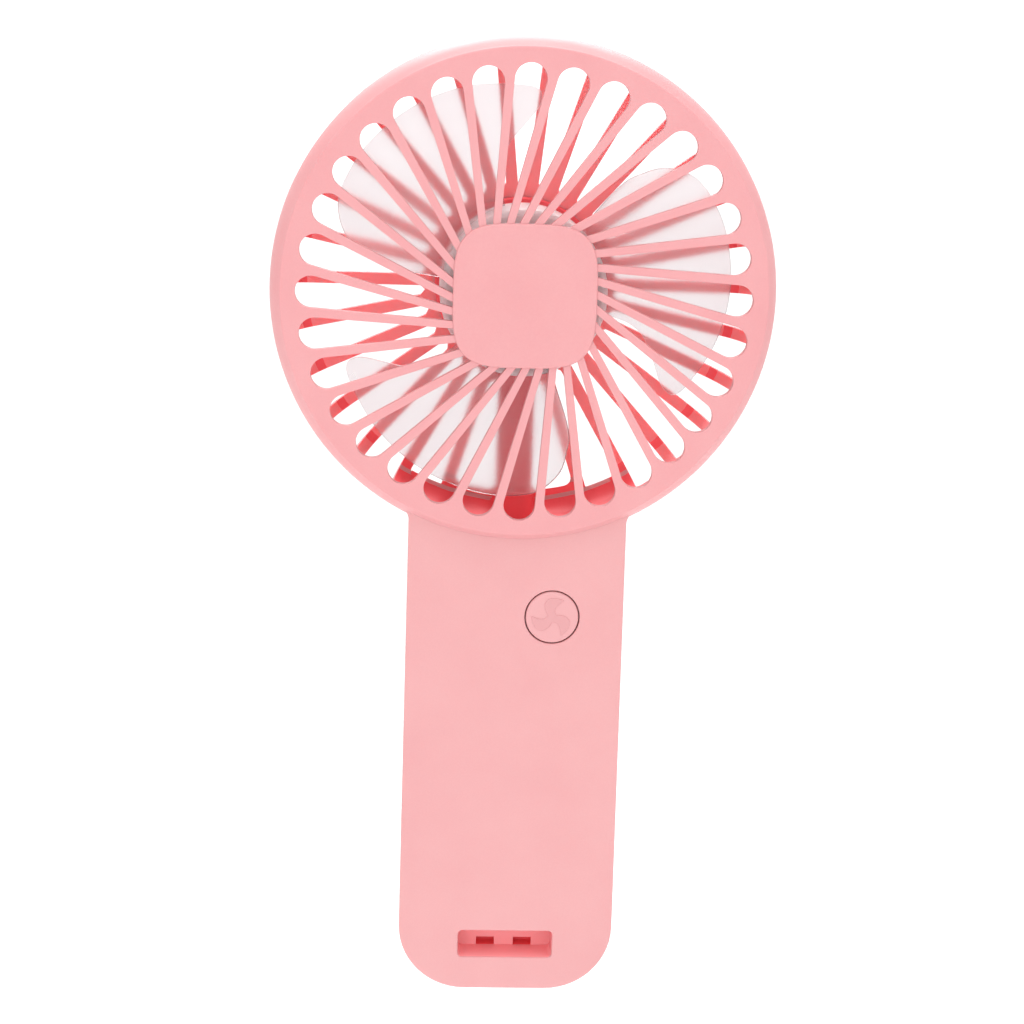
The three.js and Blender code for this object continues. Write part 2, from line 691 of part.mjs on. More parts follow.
function blade(turn) {
  const root = HUB_RADIUS - HUB_WALL / 2;
  const points = BLADE_OUTLINE.map(([angle, share]) => (
    polar(Math.max(root, share * BLADE_REACH), angle)));
  const geometry = new THREE.ExtrudeGeometry(polygon(points), {
    depth: BLADE_THICK, steps: 1, bevelEnabled: false,
  });
  geometry.rotateX(RIGHT);
  geometry.translate(0, BLADE_THICK, 0);
  const position = geometry.attributes.position;
  for (let i = 0; i < position.count; i += 1) {
    const angle = Math.atan2(position.getX(i), position.getZ(i)) * 180 / Math.PI;
    position.setY(i, position.getY(i) + bladeDepth(angle) - BLADE_THICK / 2);
  }
  geometry.rotateY(radians(turn));
  return solid(geometry);
}

function impeller() {
  const front = FACE + HUB_FRONT;
  const back = FACE + HUB_BACK;
  const bore = SHAFT_RADIUS + BORE_CLEARANCE;
  const inner = HUB_RADIUS - HUB_WALL;
  const stem = CAN_FRONT - 1.8;
  const hub = turned([
    [0, front], [HUB_RADIUS - 1, front], [HUB_RADIUS, front + 1], [HUB_RADIUS, back],
    [inner, back], [inner, front + HUB_WALL], [3.2, front + HUB_WALL], [3.2, stem],
    [bore, stem], [bore, front + HUB_WALL], [0, front + HUB_WALL],
  ], 48);
  const blades = Array.from({ length: BLADE_COUNT }, (_, i) => blade(i * 360 / BLADE_COUNT));
  return join(hub, ...blades);
}

place(head, 'impeller', impeller(), CLEAR);

// ---------------------------------------------------------------- motor

const BUSH_RADIUS = 2.4;
const BUSH_LENGTH = 2;
const CORE_RADIUS = MOTOR_RADIUS - CAN_WALL - 3;
const CORE_FRONT = CAN_FRONT + CAN_WALL + 1.3;
const CORE_BACK = CORE_FRONT + 4.6;
const COMMUTATOR_RADIUS = 2.3;
const POLE_COUNT = 3;
const POLE_NECK = 2.2;
const POLE_SHOE = 1.1;

function motorCan() {
  const boss = CAN_FRONT - 1;
  const hole = BUSH_RADIUS + BORE_CLEARANCE;
  return turned(closed([
    [hole, boss], [hole + 0.8, boss], [hole + 0.8, CAN_FRONT], [MOTOR_RADIUS - 0.6, CAN_FRONT],
    [MOTOR_RADIUS, CAN_FRONT + 0.6], [MOTOR_RADIUS, CAN_BACK], [MOTOR_RADIUS - CAN_WALL, CAN_BACK],
    [MOTOR_RADIUS - CAN_WALL, CAN_FRONT + CAN_WALL], [hole, CAN_FRONT + CAN_WALL],
  ]), 40);
}

function motorCap() {
  const hole = BUSH_RADIUS + BORE_CLEARANCE;
  const disc = ring(hole, MOTOR_RADIUS, CAN_BACK + SEAM, MOTOR_BACK, 40);
  const slits = [-1, 1].map((side) => (
    box(side * 2.4 - 0.95, side * 2.4 + 0.95, CAN_BACK, MOTOR_BACK + 1, -10, -8.6)));
  return cut(disc, ...slits);
}

function bush(y0) {
  return ring(SHAFT_RADIUS + BORE_CLEARANCE, BUSH_RADIUS, y0, y0 + BUSH_LENGTH, 20);
}

function armatureCore() {
  const poles = Array.from({ length: POLE_COUNT }, (_, i) => {
    const neck = box(-POLE_NECK / 2, POLE_NECK / 2, CORE_FRONT, CORE_BACK, 1.5, CORE_RADIUS - 0.4);
    const shoe = new THREE.Shape();
    const spread = radians(46);
    shoe.absarc(0, 0, CORE_RADIUS, RIGHT - spread, RIGHT + spread);
    shoe.absarc(0, 0, CORE_RADIUS - POLE_SHOE, RIGHT + spread, RIGHT - spread, true);
    return join(neck, slab(shoe, CORE_FRONT, CORE_BACK)).rotate([0, i * 360 / POLE_COUNT, 0]);
  });
  const middle = rodY(0, 0, 2.6, CORE_FRONT, CORE_BACK, 20);
  return cut(join(middle, ...poles), rodY(0, 0, SHAFT_RADIUS + BORE_CLEARANCE, FRONT, REAR));
}

// Coil round one pole: a rectangular ring with the pole's neck through it.
function coil(index) {
  const gap = 0.12;
  const [low, high] = [3.1, CORE_RADIUS - POLE_SHOE - 0.6];
  const side = POLE_NECK / 2 + gap;
  const thick = 0.75;
  const outer = box(-side - thick, side + thick, CORE_FRONT - gap - thick, CORE_BACK + gap + thick,
    low, high);
  const inner = box(-side, side, CORE_FRONT - gap, CORE_BACK + gap, low - 1, high + 1);
  return cut(outer, inner).rotate([0, index * 360 / POLE_COUNT, 0]);
}

// Arc magnet on the left (-1) or the right (+1) of the armature.
function magnet(side) {
  const shape = new THREE.Shape();
  const spread = radians(66);
  const middle = side > 0 ? 0 : Math.PI;
  const outer = MOTOR_RADIUS - CAN_WALL - 0.1;
  shape.absarc(0, 0, outer, middle - spread, middle + spread);
  shape.absarc(0, 0, CORE_RADIUS + 0.4, middle + spread, middle - spread, true);
  return slab(shape, CORE_FRONT - 0.6, CORE_BACK + 0.6);
}

const COMMUTATOR_FRONT = CORE_BACK + 1.1;
const COMMUTATOR_BACK = CAN_BACK - 0.3;

function brush(side) {
  const x = side * (COMMUTATOR_RADIUS + 0.25);
  const y = COMMUTATOR_FRONT + 0.3;
  return box(x - 0.15, x + 0.15, y, COMMUTATOR_BACK - 0.2, -8.95, 2);
}

function terminal(side) {
  const x = side * 2.4;
  return box(x - 0.75, x + 0.75, CAN_BACK - 1, MOTOR_BACK + 1.5, -9.6, -9.1);
}

place(head, 'motor_can', motorCan(), STEEL);
place(head, 'motor_end_cap', motorCap(), WHITE);
place(head, 'motor_front_bush', bush(CAN_FRONT - 1.1), BRONZE);
place(head, 'motor_rear_bush', bush(CAN_BACK), BRONZE);
place(head, 'motor_shaft', rodY(0, 0, SHAFT_RADIUS, FACE + HUB_FRONT + HUB_WALL + 0.2,
  MOTOR_BACK + 0.2, 20), STEEL);
place(head, 'armature_core', armatureCore(), STEEL);
for (let i = 0; i < POLE_COUNT; i += 1) place(head, `armature_coil_${i + 1}`, coil(i), COPPER);
place(head, 'commutator', ring(SHAFT_RADIUS + BORE_CLEARANCE, COMMUTATOR_RADIUS, COMMUTATOR_FRONT,
  COMMUTATOR_BACK, 18), COPPER);
place(head, 'motor_magnet_left', magnet(-1), FERRITE);
place(head, 'motor_magnet_right', magnet(1), FERRITE);
place(head, 'brush_left', brush(-1), BRASS);
place(head, 'brush_right', brush(1), BRASS);
place(head, 'motor_terminal_left', terminal(-1), BRASS);
place(head, 'motor_terminal_right', terminal(1), BRASS);
place(head, 'motor_damper', ring(MOTOR_RADIUS + 0.05, SEAT_BORE - 0.05, CAN_FRONT + 6, CAN_BACK,
  40), RUBBER);

// ---------------------------------------------------------------- power button and switch

const BUTTON_FLANGE = BUTTON_RADIUS + 1;
const FLANGE_FRONT = HANDLE_FRONT + WALL + 0.2;
const STEM_BACK = FLANGE_FRONT + 2;
const SWITCH_FRONT = STEM_BACK + 1;
const PLUNGER_RADIUS = 1.6;

function powerButton() {
  const turnedButton = turned([
    [0, HANDLE_FRONT], [BUTTON_RADIUS - 0.4, HANDLE_FRONT], [BUTTON_RADIUS, HANDLE_FRONT + 0.4],
    [BUTTON_RADIUS, FLANGE_FRONT], [BUTTON_FLANGE, FLANGE_FRONT], [BUTTON_FLANGE, FLANGE_FRONT + 0.9],
    [2.2, FLANGE_FRONT + 0.9], [2.2, STEM_BACK], [0, STEM_BACK],
  ], 40);
  return turnedButton.translate([BUTTON_X, 0, BUTTON_Z]);
}

function switchBody() {
  const side = 3;
  const body = box(BUTTON_X - side, BUTTON_X + side, SWITCH_FRONT, BOARD_Y - SEAM / 2,
    BUTTON_Z - side, BUTTON_Z + side);
  return cut(body, rodY(BUTTON_X, BUTTON_Z, PLUNGER_RADIUS + SLIP, SWITCH_FRONT - 1,
    SWITCH_FRONT + 1 + BUTTON_TRAVEL, 20));
}

place(fan, 'power_button', powerButton(), PINK);
place(fan, 'switch_plunger', rodY(BUTTON_X, BUTTON_Z, PLUNGER_RADIUS, STEM_BACK + 0.05,
  SWITCH_FRONT + 0.8, 20), BLACK);
place(fan, 'switch_body', switchBody(), STEEL);

// ---------------------------------------------------------------- circuit board

const ON_BOARD = BOARD_BACK + 0.05;

function mainBoard() {
  const board = box(BOARD_LEFT, BOARD_RIGHT, BOARD_Y, BOARD_BACK, BOARD_BOTTOM, BOARD_TOP);
  const holes = BOARD_PLACES.map(([x, z]) => rodY(x, z, BOARD_SHANK + SLIP, BOARD_Y - 1, BOARD_BACK + 1, 16));
  return cut(board, ...holes);
}

// A block soldered on the board's back, centred on a place measured from its lower left corner.
function chip(right, up, sizeX, thick, sizeZ) {
  const x = BOARD_LEFT + right;
  const z = BOARD_BOTTOM + up;
  return box(x - sizeX / 2, x + sizeX / 2, ON_BOARD, ON_BOARD + thick, z - sizeZ / 2, z + sizeZ / 2);
}

const PORT_MOUTH = BASE_WIDTH / 2 - 0.6;
const PORT_WALL = 0.3;

// Stadium section of the charging port, drawn in (z, y) and extruded along X.
function portSolid(shrink, x0, x1) {
  const section = roundedRect(0, 0, PORT_WIDTH / 2 - shrink, PORT_THICK / 2 - shrink, 1.25 - shrink / 2);
  const geometry = new THREE.ExtrudeGeometry(section, {
    depth: x1 - x0, steps: 1, curveSegments: 3, bevelEnabled: false,
  });
  geometry.rotateY(RIGHT);
  geometry.translate(x0, ON_BOARD + PORT_THICK / 2, PORT_HEIGHT);
  return solid(geometry);
}

function portShell() {
  const back = PORT_MOUTH - PORT_LENGTH;
  return cut(portSolid(0, back, PORT_MOUTH), portSolid(PORT_WALL, back + 0.8, PORT_MOUTH + 1));
}

function portTongue() {
  const middle = ON_BOARD + PORT_THICK / 2;
  const back = PORT_MOUTH - PORT_LENGTH + 0.8 + SEAM;
  return join(
    box(back, back + 1.2, middle - 1.1, middle + 1.1, PORT_HEIGHT - 3.2, PORT_HEIGHT + 3.2),
    box(back + 1, PORT_MOUTH - 0.9, middle - 0.35, middle + 0.35, PORT_HEIGHT - 3.1, PORT_HEIGHT + 3.1),
  );
}

place(fan, 'main_board', mainBoard(), BOARD_GREEN);
place(fan, 'charge_chip', chip(5, 22, 3.9, 1.5, 4.9), BLACK);
place(fan, 'speed_chip', chip(6.5, 40, 3.9, 1.5, 4.9), BLACK);
place(fan, 'power_inductor', chip(12.5, 32, 5, 2.6, 5), FERRITE);
place(fan, 'filter_capacitor', chip(5, 30, 1.6, 1.2, 3.2), BRASS);
place(fan, 'charge_light', chip(16.4, 24.2, 1.6, 0.8, 1.6), WHITE);
place(fan, 'port_shell', portShell(), NICKEL);
place(fan, 'port_tongue', portTongue(), BLACK);
BOARD_PLACES.forEach(([x, z], i) => {
  place(fan, `board_screw_${i + 1}`, screw(x, z, ON_BOARD, 4.5, BOARD_SHANK, 1.6, 1), SCREW_STEEL);
});

// ---------------------------------------------------------------- battery

const TAB_THICK = 0.2;
const TAB_HALF = 2.5;

function cell() {
  const r = CELL_RADIUS;
  const profile = [
    [0, 0], [r - 0.5, 0], [r, 0.5], [r, CELL_LENGTH - 4], [r - 0.5, CELL_LENGTH - 3.4],
    [r, CELL_LENGTH - 2.8], [r, CELL_LENGTH - 0.5], [r - 0.5, CELL_LENGTH], [0, CELL_LENGTH],
  ];
  return turned(profile, 32).rotate([90, 0, 0]).translate([CELL_X, 0, CELL_BOTTOM]);
}

const TERMINAL_TOP = CELL_TOP + 1;

function terminalWasher() {
  return ring(3.3, CELL_RADIUS - 0.8, 0, 0.3, 24).rotate([90, 0, 0])
    .translate([CELL_X, 0, CELL_TOP + 0.05]);
}

// Wires and tabs follow smooth routes between their joints.
function wire(points) {
  const curve = new THREE.CatmullRomCurve3(points.map((p) => new THREE.Vector3(...p)), false,
    'centripetal');
  const section = new THREE.Shape();
  section.absarc(0, 0, WIRE_RADIUS, 0, 2 * Math.PI);
  return solid(new THREE.ExtrudeGeometry(section, {
    extrudePath: curve, steps: 4 * (points.length - 1), curveSegments: 2, bevelEnabled: false,
  }));
}

const TOP_TAB = TERMINAL_TOP + 0.05 + TAB_THICK;
const LOW_TAB = CELL_BOTTOM - 0.05;
const FOAM_TOP = LOW_TAB - TAB_THICK - 0.1;

place(fan, 'battery_cell', cell(), CELL_WRAP);
place(fan, 'battery_cap', rodZ(CELL_X, 0, 3, CELL_TOP + 0.05, TERMINAL_TOP, 20), NICKEL);
place(fan, 'battery_washer', terminalWasher(), WHITE);
place(fan, 'battery_tab_plus', box(CELL_X - TAB_HALF, CELL_X + 7, -TAB_HALF, TAB_HALF,
  TERMINAL_TOP + 0.05, TOP_TAB), NICKEL);
place(fan, 'battery_tab_minus', box(CELL_X - TAB_HALF, CELL_X + 7, -TAB_HALF, TAB_HALF,
  LOW_TAB - TAB_THICK, LOW_TAB), NICKEL);
place(fan, 'battery_foam', box(SCREW_BOSS + 0.3 - SCREW_X, CELL_X + 4, -6, 6,
  RECESS_HIGH + WALL + 0.1, FOAM_TOP), FOAM);

// ---------------------------------------------------------------- wires

const SOLDER_Y = ON_BOARD + WIRE_RADIUS + 0.3;

function motorWire(side) {
  const x = side * 0.85;
  const pad = BOARD_LEFT + 3 + (side > 0 ? 2.4 : 0);
  const neckY = HANDLE_BACK - WALL - 2.2;
  const ductY = (DUCT_FRONT + 1.2 + PLATE - 0.4) / 2;
  const bend = HEAD_HEIGHT - BLADE_REACH - 3;
  return wire([
    [pad, SOLDER_Y, BOARD_TOP - 4], [pad, SOLDER_Y, BOARD_TOP + 0.5],
    [x, neckY - 2, HEAD_HEIGHT - NECK_ARC - 3], [x, neckY, HEAD_HEIGHT - NECK_ARC + 1.5],
    [x, neckY, bend - 1.6], [x, ductY, bend + 1.8], [x, ductY, bend + 7],
    [x, ductY, HEAD_HEIGHT - MOTOR_RADIUS - 1.5], [side * 1.45, ductY, HEAD_HEIGHT - 9.85],
  ]);
}

function plusWire() {
  const start = CELL_X + 5.4;
  return wire([
    [start, 0, TOP_TAB + WIRE_RADIUS + 0.1], [start + 2.4, 0, TOP_TAB + WIRE_RADIUS + 0.3],
    [BOARD_LEFT + 0.4, 1.2, BOARD_TOP - 5], [BOARD_LEFT + 1.6, SOLDER_Y, BOARD_TOP - 9],
    [BOARD_LEFT + 1.6, SOLDER_Y, BOARD_TOP - 12],
  ]);
}

function minusWire() {
  const start = CELL_X + 5.4;
  const low = LOW_TAB - TAB_THICK - WIRE_RADIUS - 0.1;
  return wire([
    [start, 0, low], [start + 3, 0, low], [BOARD_LEFT + 1, 0.4, CELL_BOTTOM + 2],
    [BOARD_LEFT + 1.6, 0.4, BOARD_BOTTOM - 5], [BOARD_LEFT + 7, SOLDER_Y + 0.2, BOARD_BOTTOM + 1],
    [BOARD_LEFT + 7, SOLDER_Y, BOARD_BOTTOM + 5],
  ]);
}

place(fan, 'motor_wire_red', motorWire(-1), WIRE_RED);
place(fan, 'motor_wire_black', motorWire(1), WIRE_BLACK);
place(fan, 'battery_wire_red', plusWire(), WIRE_RED);
place(fan, 'battery_wire_black', minusWire(), WIRE_BLACK);

export default fan;
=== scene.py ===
"""Handheld electric fan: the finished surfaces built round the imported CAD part.

Shapes are made in millimetres in the part's own frame and turned into metres at the end.
"""

import json
import math

import bmesh
import bpy
from mathutils import Matrix, Vector


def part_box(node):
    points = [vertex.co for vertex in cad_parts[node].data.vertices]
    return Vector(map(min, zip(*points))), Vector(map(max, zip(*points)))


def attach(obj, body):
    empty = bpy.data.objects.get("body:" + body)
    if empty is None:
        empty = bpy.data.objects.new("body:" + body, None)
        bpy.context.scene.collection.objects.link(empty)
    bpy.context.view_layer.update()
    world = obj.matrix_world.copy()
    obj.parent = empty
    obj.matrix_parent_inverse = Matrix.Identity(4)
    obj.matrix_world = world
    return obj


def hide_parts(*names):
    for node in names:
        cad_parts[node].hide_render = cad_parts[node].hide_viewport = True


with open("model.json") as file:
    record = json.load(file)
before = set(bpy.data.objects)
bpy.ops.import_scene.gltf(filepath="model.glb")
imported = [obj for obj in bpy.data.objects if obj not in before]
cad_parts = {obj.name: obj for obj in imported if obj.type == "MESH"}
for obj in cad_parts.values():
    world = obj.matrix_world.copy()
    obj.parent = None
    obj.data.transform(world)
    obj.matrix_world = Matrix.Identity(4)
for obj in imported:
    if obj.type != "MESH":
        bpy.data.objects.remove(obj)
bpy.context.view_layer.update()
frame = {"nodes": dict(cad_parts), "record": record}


def span(node):
    """Lowest and highest corner of a CAD node, in millimetres."""
    low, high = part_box(node)
    return low * 1000, high * 1000


GRILLE_LOW, GRILLE_HIGH = span("front_grille")
SHELL_LOW, SHELL_HIGH = span("front_shell")
REAR_LOW, REAR_HIGH = span("rear_shell")
IMPELLER_LOW, IMPELLER_HIGH = span("impeller")
BUTTON_LOW, BUTTON_HIGH = span("power_button")

HEAD = Vector((0, 0, (GRILLE_LOW.z + GRILLE_HIGH.z) / 2))
HEAD_RADIUS = (GRILLE_HIGH.x - GRILLE_LOW.x) / 2
FRONT = GRILLE_LOW.y
REAR = REAR_HIGH.y
WALL = 1.8
BOSS_RISE = 0.5
FACE = FRONT + BOSS_RISE
COVER_BACK = GRILLE_HIGH.y
PLATE = REAR - WALL
BORE = HEAD_RADIUS - WALL
HANDLE_FRONT = SHELL_LOW.y
HANDLE_BACK = -HANDLE_FRONT
SEAM = 0.075

FACE_ROUND = 0.5
CROWN = 2.2
FACE_FLAT = HEAD_RADIUS - CROWN - FACE_ROUND
SLOT_TIP = FACE_FLAT - 2.8
SPOKES = 32
SPOKE_OFFSET = 7.1
SPOKE_INNER = 1.5
SPOKE_OUTER = 1.84
SPOKE_ROOT = 13.4
BOSS_HALF = 14.8
BOSS_POWER = 3.75                # how squared-off the boss is

REAR_ROUND = 8.0
REAR_FLAT = HEAD_RADIUS - REAR_ROUND
BARS = 30
BAR_HALF = 1.25
DUCT_HALF = 3.85
REAR_HUB = 20.4

HUB_RADIUS = 17.4
BLADES = 3
BLADE_REACH = 44.1

NECK_TOP = HEAD.z - 41            # the head's wall runs over the handle below this height
NECK_HALF = 22.9
BASE_HALF = 23.3
BASE_CORNER = 14.5
FILLET = 3.0
EDGE_ROUND = 3.5

BUTTON = (BUTTON_LOW + BUTTON_HIGH) / 2
BUTTON_RADIUS = 5.6
RECESS_HALF = 10.3
RECESS_LOW = 7.3
RECESS_HIGH = 13.5
RECESS_BACK = HANDLE_FRONT + 7.2
WINDOW_WIDTH = 4
WINDOW_HEIGHT = 1.8
WINDOW_LEFTS = (-6.1, 2.1)


# ---------------------------------------------------------------- mesh helpers

def polar(radius, angle):
    """A point in the head's plane at a clockwise angle from the top, in degrees."""
    turn = math.radians(angle)
    return Vector((radius * math.sin(turn), radius * math.cos(turn)))


def at(point, y):
    """A head-plane point at depth y, in the part's frame."""
    return HEAD + Vector((point[0], y, point[1]))


def ngon(bm, points):
    return bm.faces.new([bm.verts.new(p) for p in points])


def merge(bm, distance=0.002):
    bmesh.ops.remove_doubles(bm, verts=bm.verts, dist=distance)


def thicken(bm, faces, depth):
    """Gives flat faces a thickness along Y and returns the moved copies."""
    made = bmesh.ops.extrude_face_region(bm, geom=faces)["geom"]
    moved = [v for v in made if isinstance(v, bmesh.types.BMVert)]
    bmesh.ops.translate(bm, verts=moved, vec=(0, depth, 0))
    return moved


def soften(bm, edges, width, segments):
    if edges:
        bmesh.ops.bevel(bm, geom=edges, offset=width, offset_type="OFFSET", affect="EDGES",
                        segments=segments, profile=0.5, material=-1, clamp_overlap=True)


def edges_between(bm, first, second):
    """Edges with a face that passes one test on one side and the other test on the other."""
    found = []
    for edge in bm.edges:
        if len(edge.link_faces) == 2:
            a, b = edge.link_faces
            if (first(a) and second(b)) or (first(b) and second(a)):
                found.append(edge)
    return found


def faces_front(face):
    return face.normal.y < -0.99


def faces_back(face):
    return face.normal.y > 0.99


def faces_side(face):
    return abs(face.normal.y) < 0.05


def faces_axis(centre, normal):
    """True on the head's inner wall."""
    out = Vector((centre.x - HEAD.x, 0, centre.z - HEAD.z)).normalized()
    return normal.dot(out) < -0.6 and BORE - 3 < head_radius(centre) < BORE + 0.2


def in_recess(centre):
    return (abs(centre.x) < RECESS_HALF + 0.05 and RECESS_LOW - 0.05 < centre.z < RECESS_HIGH + 0.05
            and HANDLE_FRONT + 0.6 < centre.y < RECESS_BACK + 3)


def head_radius(point):
    return math.hypot(point.x - HEAD.x, point.z - HEAD.z)


def set_radius(vert, radius, y):
    """Moves a vertex to a radius from the head's axis and to a depth, along its own direction."""
    grow = radius / head_radius(vert.co)
    vert.co = Vector((HEAD.x + (vert.co.x - HEAD.x) * grow, y,
                      HEAD.z + (vert.co.z - HEAD.z) * grow))


def absorb(bm, other):
    """Moves the faces of another bmesh into this one."""
    mesh = bpy.data.meshes.new("part")
    other.to_mesh(mesh)
    other.free()
    bm.from_mesh(mesh)
    bpy.data.meshes.remove(mesh)


def mouth_edges(bm, facing, plate, accept):
    """Edges of holes in the flat plate at depth plate, where accept passes their points."""
    return [e for e in edges_between(bm, facing, faces_side)
            if all(abs(v.co.y - plate) < 0.01 and accept(v.co) for v in e.verts)]


def spun(bm, profile, steps=192, centre=HEAD, closed=False):
    """Spins a profile of (radius, y) points about the Y axis through a centre."""
    verts = [bm.verts.new(centre + Vector((r, y, 0))) for r, y in profile]
    pairs = list(zip(verts, verts[1:]))
    if closed:
        pairs.append((verts[-1], verts[0]))
    edges = [bm.edges.new(pair) for pair in pairs]
    bmesh.ops.spin(bm, geom=verts + edges, cent=centre, axis=(0, 1, 0), angle=2 * math.pi,
                   steps=steps, use_merge=True)


def arc(centre, radius, start, end, steps):
    """Points on an arc, as pairs, with angles in degrees anticlockwise from +X."""
    points = []
    for i in range(steps + 1):
        turn = math.radians(start + (end - start) * i / steps)
        points.append((centre[0] + radius * math.cos(turn), centre[1] + radius * math.sin(turn)))
    return points


def box(bm, low, high):
    made = bmesh.ops.create_cube(bm, size=1)["verts"]
    low, high = Vector(low), Vector(high)
    for vert in made:
        vert.co = (low + high) / 2 + Vector([c * s for c, s in zip(vert.co, high - low)])
    return made


def to_object(name, bm):
    """An object in metres from a bmesh in millimetres, faces outward; the bmesh is freed."""
    merge(bm, 0.001)
    bmesh.ops.recalc_face_normals(bm, faces=bm.faces)
    bmesh.ops.scale(bm, vec=(0.001, 0.001, 0.001), verts=bm.verts)
    mesh = bpy.data.meshes.new(name)
    bm.to_mesh(mesh)
    bm.free()
    made = bpy.data.objects.new(name, mesh)
    bpy.context.scene.collection.objects.link(made)
    return made


def combine(base, tools, operation="DIFFERENCE"):
    """Cuts tools out of a base mesh, or adds them to it, and returns the new bmesh."""
    target = to_object("base_solid", base)
    helpers = [target]
    for tool in tools:
        helper = to_object("tool_solid", tool)
        helpers.append(helper)
        step = target.modifiers.new("cut", "BOOLEAN")
        step.operation = operation
        step.solver = "EXACT"
        step.object = helper
    graph = bpy.context.evaluated_depsgraph_get()
    mesh = bpy.data.meshes.new_from_object(target.evaluated_get(graph))
    result = bmesh.new()
    result.from_mesh(mesh)
    bmesh.ops.scale(result, vec=(1000, 1000, 1000), verts=result.verts)
    bpy.data.meshes.remove(mesh)
    for helper in helpers:
        mesh = helper.data
        bpy.data.objects.remove(helper)
        bpy.data.meshes.remove(mesh)
    merge(result, 0.002)
    return result


def finish_piece(name, bm, body, nodes, materials, choose=None):
    """Makes a smooth piece with sharp corners.

    choose, if given, picks one of the materials from a face's centre and normal.
    """
    piece = to_object(name, bm)
    for material in materials:
        piece.data.materials.append(material)
    for face in piece.data.polygons:
        face.use_smooth = True
        if choose:
            face.material_index = materials.index(choose(face.center * 1000, face.normal))
    check = bmesh.new()
    check.from_mesh(piece.data)
    for edge in check.edges:
        edge.smooth = len(edge.link_faces) == 2 and edge.calc_face_angle(0) < math.radians(32)
    check.to_mesh(piece.data)
    check.free()
    even = piece.modifiers.new("even_shading", "WEIGHTED_NORMAL")
    even.keep_sharp = True
    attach(piece, body)
    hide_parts(*nodes)
    return piece


# ---------------------------------------------------------------- materials

def new_group(name, inputs, outputs):
    group = bpy.data.node_groups.new(name, "ShaderNodeTree")
    for label, kind, value in inputs:
        socket = group.interface.new_socket(label, in_out="INPUT", socket_type=kind)
        socket.default_value = value
    for label, kind in outputs:
        group.interface.new_socket(label, in_out="OUTPUT", socket_type=kind)
    enter = group.nodes.new("NodeGroupInput")
    leave = group.nodes.new("NodeGroupOutput")
    return group, enter, leave


def moulded_grain():
    """Fine spark texture of a mould, soft flow mottling and a trace of handling."""
    group, enter, leave = new_group(
        "moulded_grain",
        [("Colour", "NodeSocketColor", (1, 1, 1, 1)),
         ("Deep Colour", "NodeSocketColor", (1, 1, 1, 1)),
         ("Grain Scale", "NodeSocketFloat", 4000.0), ("Roughness", "NodeSocketFloat", 0.5),
         ("Variation", "NodeSocketFloat", 0.5)],
        [("Colour", "NodeSocketColor"), ("Roughness", "NodeSocketFloat"),
         ("Height", "NodeSocketFloat")])
    nodes, links = group.nodes, group.links
    place = nodes.new("ShaderNodeTexCoord")
    fine = nodes.new("ShaderNodeTexNoise")
    fine.inputs["Detail"].default_value = 3.0
    fine.inputs["Roughness"].default_value = 0.6
    links.new(place.outputs["Object"], fine.inputs["Vector"])
    links.new(enter.outputs["Grain Scale"], fine.inputs["Scale"])
    pits = nodes.new("ShaderNodeTexVoronoi")
    links.new(place.outputs["Object"], pits.inputs["Vector"])
    half = nodes.new("ShaderNodeMath")
    half.operation = "MULTIPLY"
    half.inputs[1].default_value = 0.6
    links.new(enter.outputs["Grain Scale"], half.inputs[0])
    links.new(half.outputs[0], pits.inputs["Scale"])
    flow = nodes.new("ShaderNodeTexNoise")
    flow.inputs["Scale"].default_value = 70.0
    flow.inputs["Detail"].default_value = 4.0
    links.new(place.outputs["Object"], flow.inputs["Vector"])
    blend = nodes.new("ShaderNodeMath")
    blend.operation = "MULTIPLY_ADD"
    blend.inputs[1].default_value = 0.45
    links.new(fine.outputs["Fac"], blend.inputs[0])
    shade = nodes.new("ShaderNodeMath")
    shade.operation = "MULTIPLY"
    shade.inputs[1].default_value = 0.55
    links.new(flow.outputs["Fac"], shade.inputs[0])
    links.new(shade.outputs[0], blend.inputs[2])
    spread = nodes.new("ShaderNodeMath")
    spread.operation = "MULTIPLY"
    links.new(blend.outputs[0], spread.inputs[0])
    links.new(enter.outputs["Variation"], spread.inputs[1])
    tint = nodes.new("ShaderNodeMix")
    tint.data_type = "RGBA"
    links.new(spread.outputs[0], tint.inputs["Factor"])
    links.new(enter.outputs["Colour"], tint.inputs["A"])
    links.new(enter.outputs["Deep Colour"], tint.inputs["B"])
    links.new(tint.outputs["Result"], leave.inputs["Colour"])
    wear = nodes.new("ShaderNodeMath")
    wear.operation = "MULTIPLY_ADD"
    wear.inputs[1].default_value = 0.16
    links.new(flow.outputs["Fac"], wear.inputs[0])
    lower = nodes.new("ShaderNodeMath")
    lower.operation = "SUBTRACT"
    lower.inputs[1].default_value = 0.08
    links.new(enter.outputs["Roughness"], lower.inputs[0])
    links.new(lower.outputs[0], wear.inputs[2])
    links.new(wear.outputs[0], leave.inputs["Roughness"])
    height = nodes.new("ShaderNodeMath")
    height.operation = "MULTIPLY_ADD"
    height.inputs[1].default_value = 0.5
    links.new(pits.outputs["Distance"], height.inputs[0])
    links.new(fine.outputs["Fac"], height.inputs[2])
    links.new(height.outputs[0], leave.inputs["Height"])
    return group


